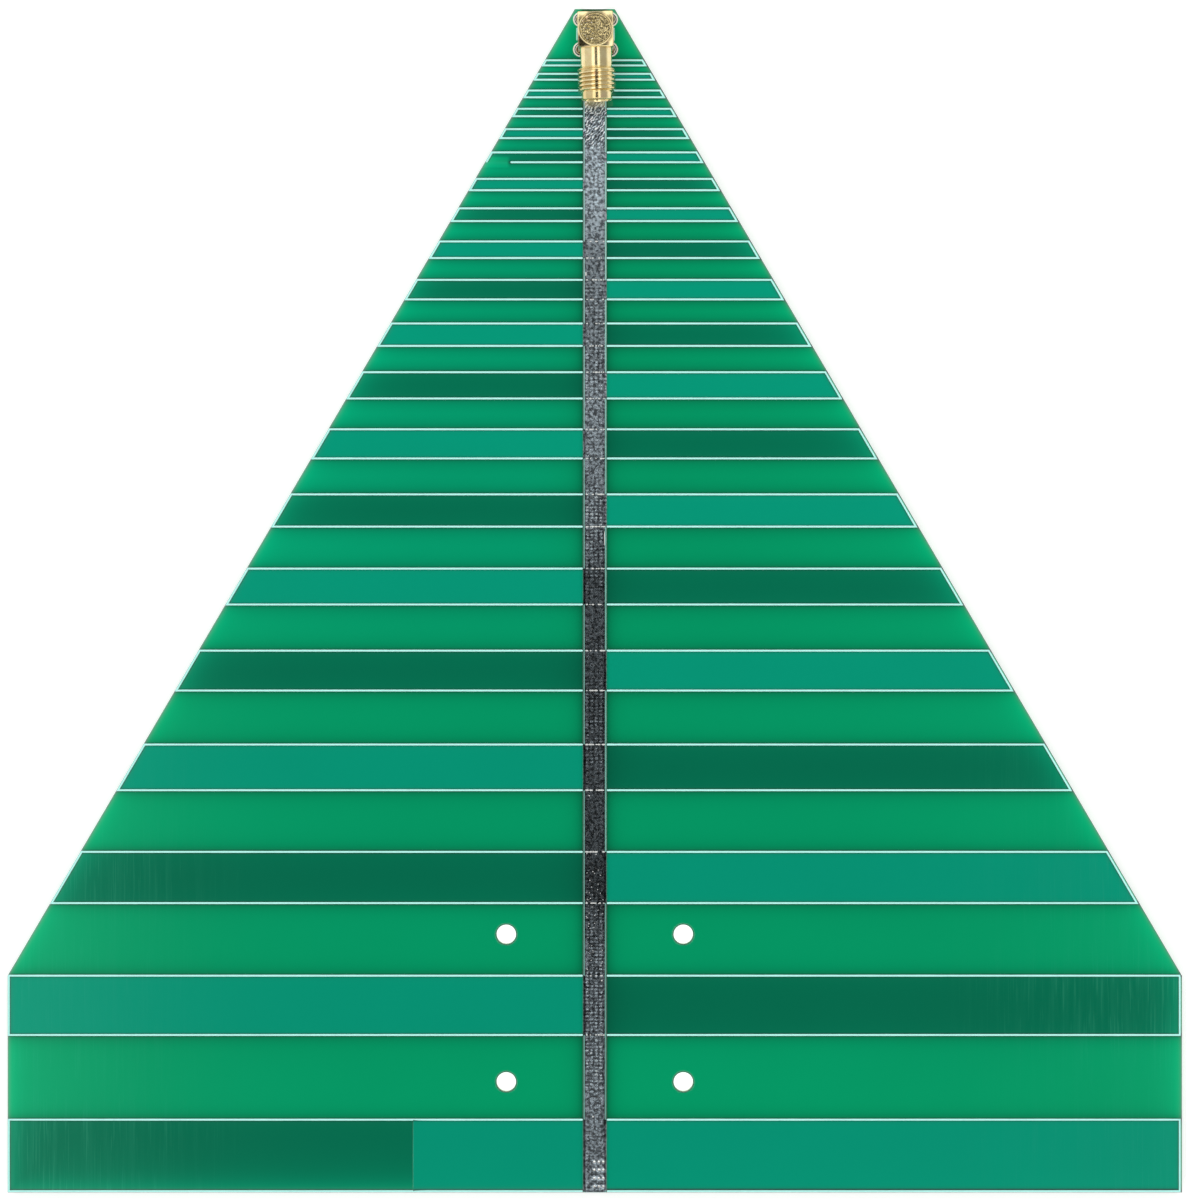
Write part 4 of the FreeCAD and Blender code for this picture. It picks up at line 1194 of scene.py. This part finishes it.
# ----------------------------------------------------------- ride and replace
for piece, node, slot in (
    (front_lacquer, "front_solder_mask", "lacquer"), (back_lacquer, "back_solder_mask", "lacquer"),
    (legend_ink, "front_legend_ink", "legend"), (front_tin, "front_boom_tinning", "tin"),
    (back_tin, "back_boom_tinning", "tin"), (jack_body, "sma_body", "gold"), (jack_cap, "sma_cap", "cap_metal"),
    (leg_solder, "ground_solder_joints", "tin"), (pin_solder, "feed_solder_joint", "tin"),
):
    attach(piece, "root")
    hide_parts(node)

for node, mat in (
    ("board_laminate", M_LAM), ("front_copper_foil", M_CU), ("back_copper_foil", M_CU), ("via_barrels", M_PLATE),
    ("pin_hole_barrels", M_PLATE), ("sma_barrel_insulator", M_BEAD), ("sma_base_insulator", M_BEAD),
    ("sma_socket_contact", M_GOLD), ("sma_feed_pin", M_GOLD),
):
    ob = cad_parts[node]
    if not ob.material_slots:
        ob.data.materials.append(mat)
    for s in ob.material_slots:
        s.material = mat

# ------------------------------------------------------------ floor, light
FLOOR_Z = -1.502
me = bpy.data.meshes.new("floor")
s = 4.0
me.from_pydata([(-s, -s, FLOOR_Z * MM), (s, -s, FLOOR_Z * MM), (s, s, FLOOR_Z * MM), (-s, s, FLOOR_Z * MM)], [], [(0, 1, 2, 3)])
floor = bpy.data.objects.new("floor", me)
bpy.context.scene.collection.objects.link(floor)
fm = Mat("pale_floor", rough=0.9, color=(0.6, 0.6, 0.6))
fm.b.inputs["Specular IOR Level"].default_value = 0.0
fm.b.inputs["Emission Color"].default_value = (1, 1, 1, 1)
# painted light: the floor glows brighter under the board, so the holes show white
lit = fm.step(0.5, 3.0, fm.side_distance())
fm.nt.links.new(fm.add(0.55, fm.mul(lit, 0.42)), fm.b.inputs["Emission Strength"])
me.materials.append(fm.m)

world = bpy.data.worlds.new("studio")
bpy.context.scene.world = world
world.use_nodes = True
wt = world.node_tree
wt.nodes.clear()


def wn(kind, *args, op=None, **kw):
    n = wt.nodes.new(kind)
    if op:
        n.operation = op
    for i, a in enumerate(args):
        if isinstance(a, (int, float)):
            n.inputs[i].default_value = a
        else:
            wt.links.new(a, n.inputs[i])
    return n


def wm(op, *args):
    return wn("ShaderNodeMath", *args, op=op).outputs[0]


def wstep(a, b, v):
    n = wt.nodes.new("ShaderNodeMapRange")
    n.interpolation_type = "SMOOTHSTEP"
    wt.links.new(v, n.inputs[0])
    n.inputs[1].default_value, n.inputs[2].default_value = a, b
    n.inputs[3].default_value, n.inputs[4].default_value = 0, 1
    return n.outputs[0]


tc = wt.nodes.new("ShaderNodeTexCoord")
sp = wt.nodes.new("ShaderNodeSeparateXYZ")
wt.links.new(tc.outputs["Generated"], sp.inputs[0])
dx, dy, dz = sp.outputs
zz = wm("MAXIMUM", dz, 0.05)
u, v_ = wm("DIVIDE", dx, zz), wm("DIVIDE", dy, zz)
au, av = wm("ABSOLUTE", u), wm("ABSOLUTE", v_)
# two wide soft boxes left and right of a dark slot overhead, a dimmer side on the right
us = wm("ADD", u, 0.05)
rad = wm("SQRT", wm("ADD", wm("MULTIPLY", us, us), wm("MULTIPLY", wm("MULTIPLY", v_, v_), 0.36)))
slot_l, slot_r = wstep(0.10, 0.20, rad), wstep(0.160, 0.275, rad)
from_right = wstep(-0.03, 0.03, us)
slot_ = wm("ADD", wm("MULTIPLY", slot_r, from_right), wm("MULTIPLY", slot_l, wm("SUBTRACT", 1.0, from_right)))
right = wm("ADD", 0.41, wm("MULTIPLY", wstep(4.5, 7.0, au), 0.3))
is_right = wstep(-0.05, 0.05, u)
box_ = wm("ADD", wm("MULTIPLY", wm("SUBTRACT", 1.0, wstep(0.38, 0.58, au)), is_right),
          wm("MULTIPLY", wm("SUBTRACT", 1.0, wstep(0.51, 0.71, au)), wm("SUBTRACT", 1.0, is_right)))
side_ = wm("ADD", wm("MULTIPLY", right, is_right), wm("MULTIPLY", 0.76, wm("SUBTRACT", 1.0, is_right)))
base_ = wm("ADD", side_, wm("MULTIPLY", wm("SUBTRACT", 1.62, side_), box_))
far_ = wstep(0.9, 1.6, av)
base_ = wm("ADD", wm("MULTIPLY", base_, wm("SUBTRACT", 1.0, far_)), wm("MULTIPLY", far_, 0.75))
level_ = wm("ADD", 0.02, wm("MULTIPLY", base_, slot_))
# the slot is longer towards the wide end, with a faint haze at its left end
lower = wm("SUBTRACT", 1.0, wstep(0.02, 0.06, v_))
lower = wm("MULTIPLY", lower, wm("SUBTRACT", 1.0, wstep(0.135, 0.18, au)))
lower = wm("MULTIPLY", lower, wm("SUBTRACT", 1.0, wstep(0.14, 0.20, av)))
haze = wm("ADD", 0.02, wm("MULTIPLY", wstep(0.086, 0.118, wm("MULTIPLY", u, -1.0)), 0.22))
level_ = wm("ADD", wm("MULTIPLY", level_, wm("SUBTRACT", 1.0, lower)), wm("MULTIPLY", haze, lower))
lp = wt.nodes.new("ShaderNodeLightPath")
seen_ = wm("ADD", wm("MULTIPLY", lp.outputs["Is Camera Ray"], wm("SUBTRACT", 0.93, level_)), level_)
bg = wt.nodes.new("ShaderNodeBackground")
bg.inputs["Color"].default_value = (1.0, 0.995, 0.985, 1)
wt.links.new(seen_, bg.inputs["Strength"])
wo = wt.nodes.new("ShaderNodeOutputWorld")
wt.links.new(bg.outputs[0], wo.inputs["Surface"])

scene = bpy.context.scene
scene.view_settings.view_transform = "Standard"
scene.view_settings.look = "None"
scene.view_settings.exposure = 0.0
scene.view_settings.gamma = 1.0

# ---------------------------------------------------------------------- camera
cam = bpy.data.cameras.new("camera")
cam.sensor_fit = "AUTO"
cam.sensor_width = 36.0
cam.lens = 18.0 * 800.0 / 101.67
cam.clip_start, cam.clip_end = 0.01, 20.0
camera = bpy.data.objects.new("camera", cam)
camera.location = (-0.22 * MM, 69.16 * MM, (1.6 + 800.0) * MM)
camera.rotation_euler = (0.0, 0.0, 0.0)
scene.collection.objects.link(camera)
scene.camera = camera
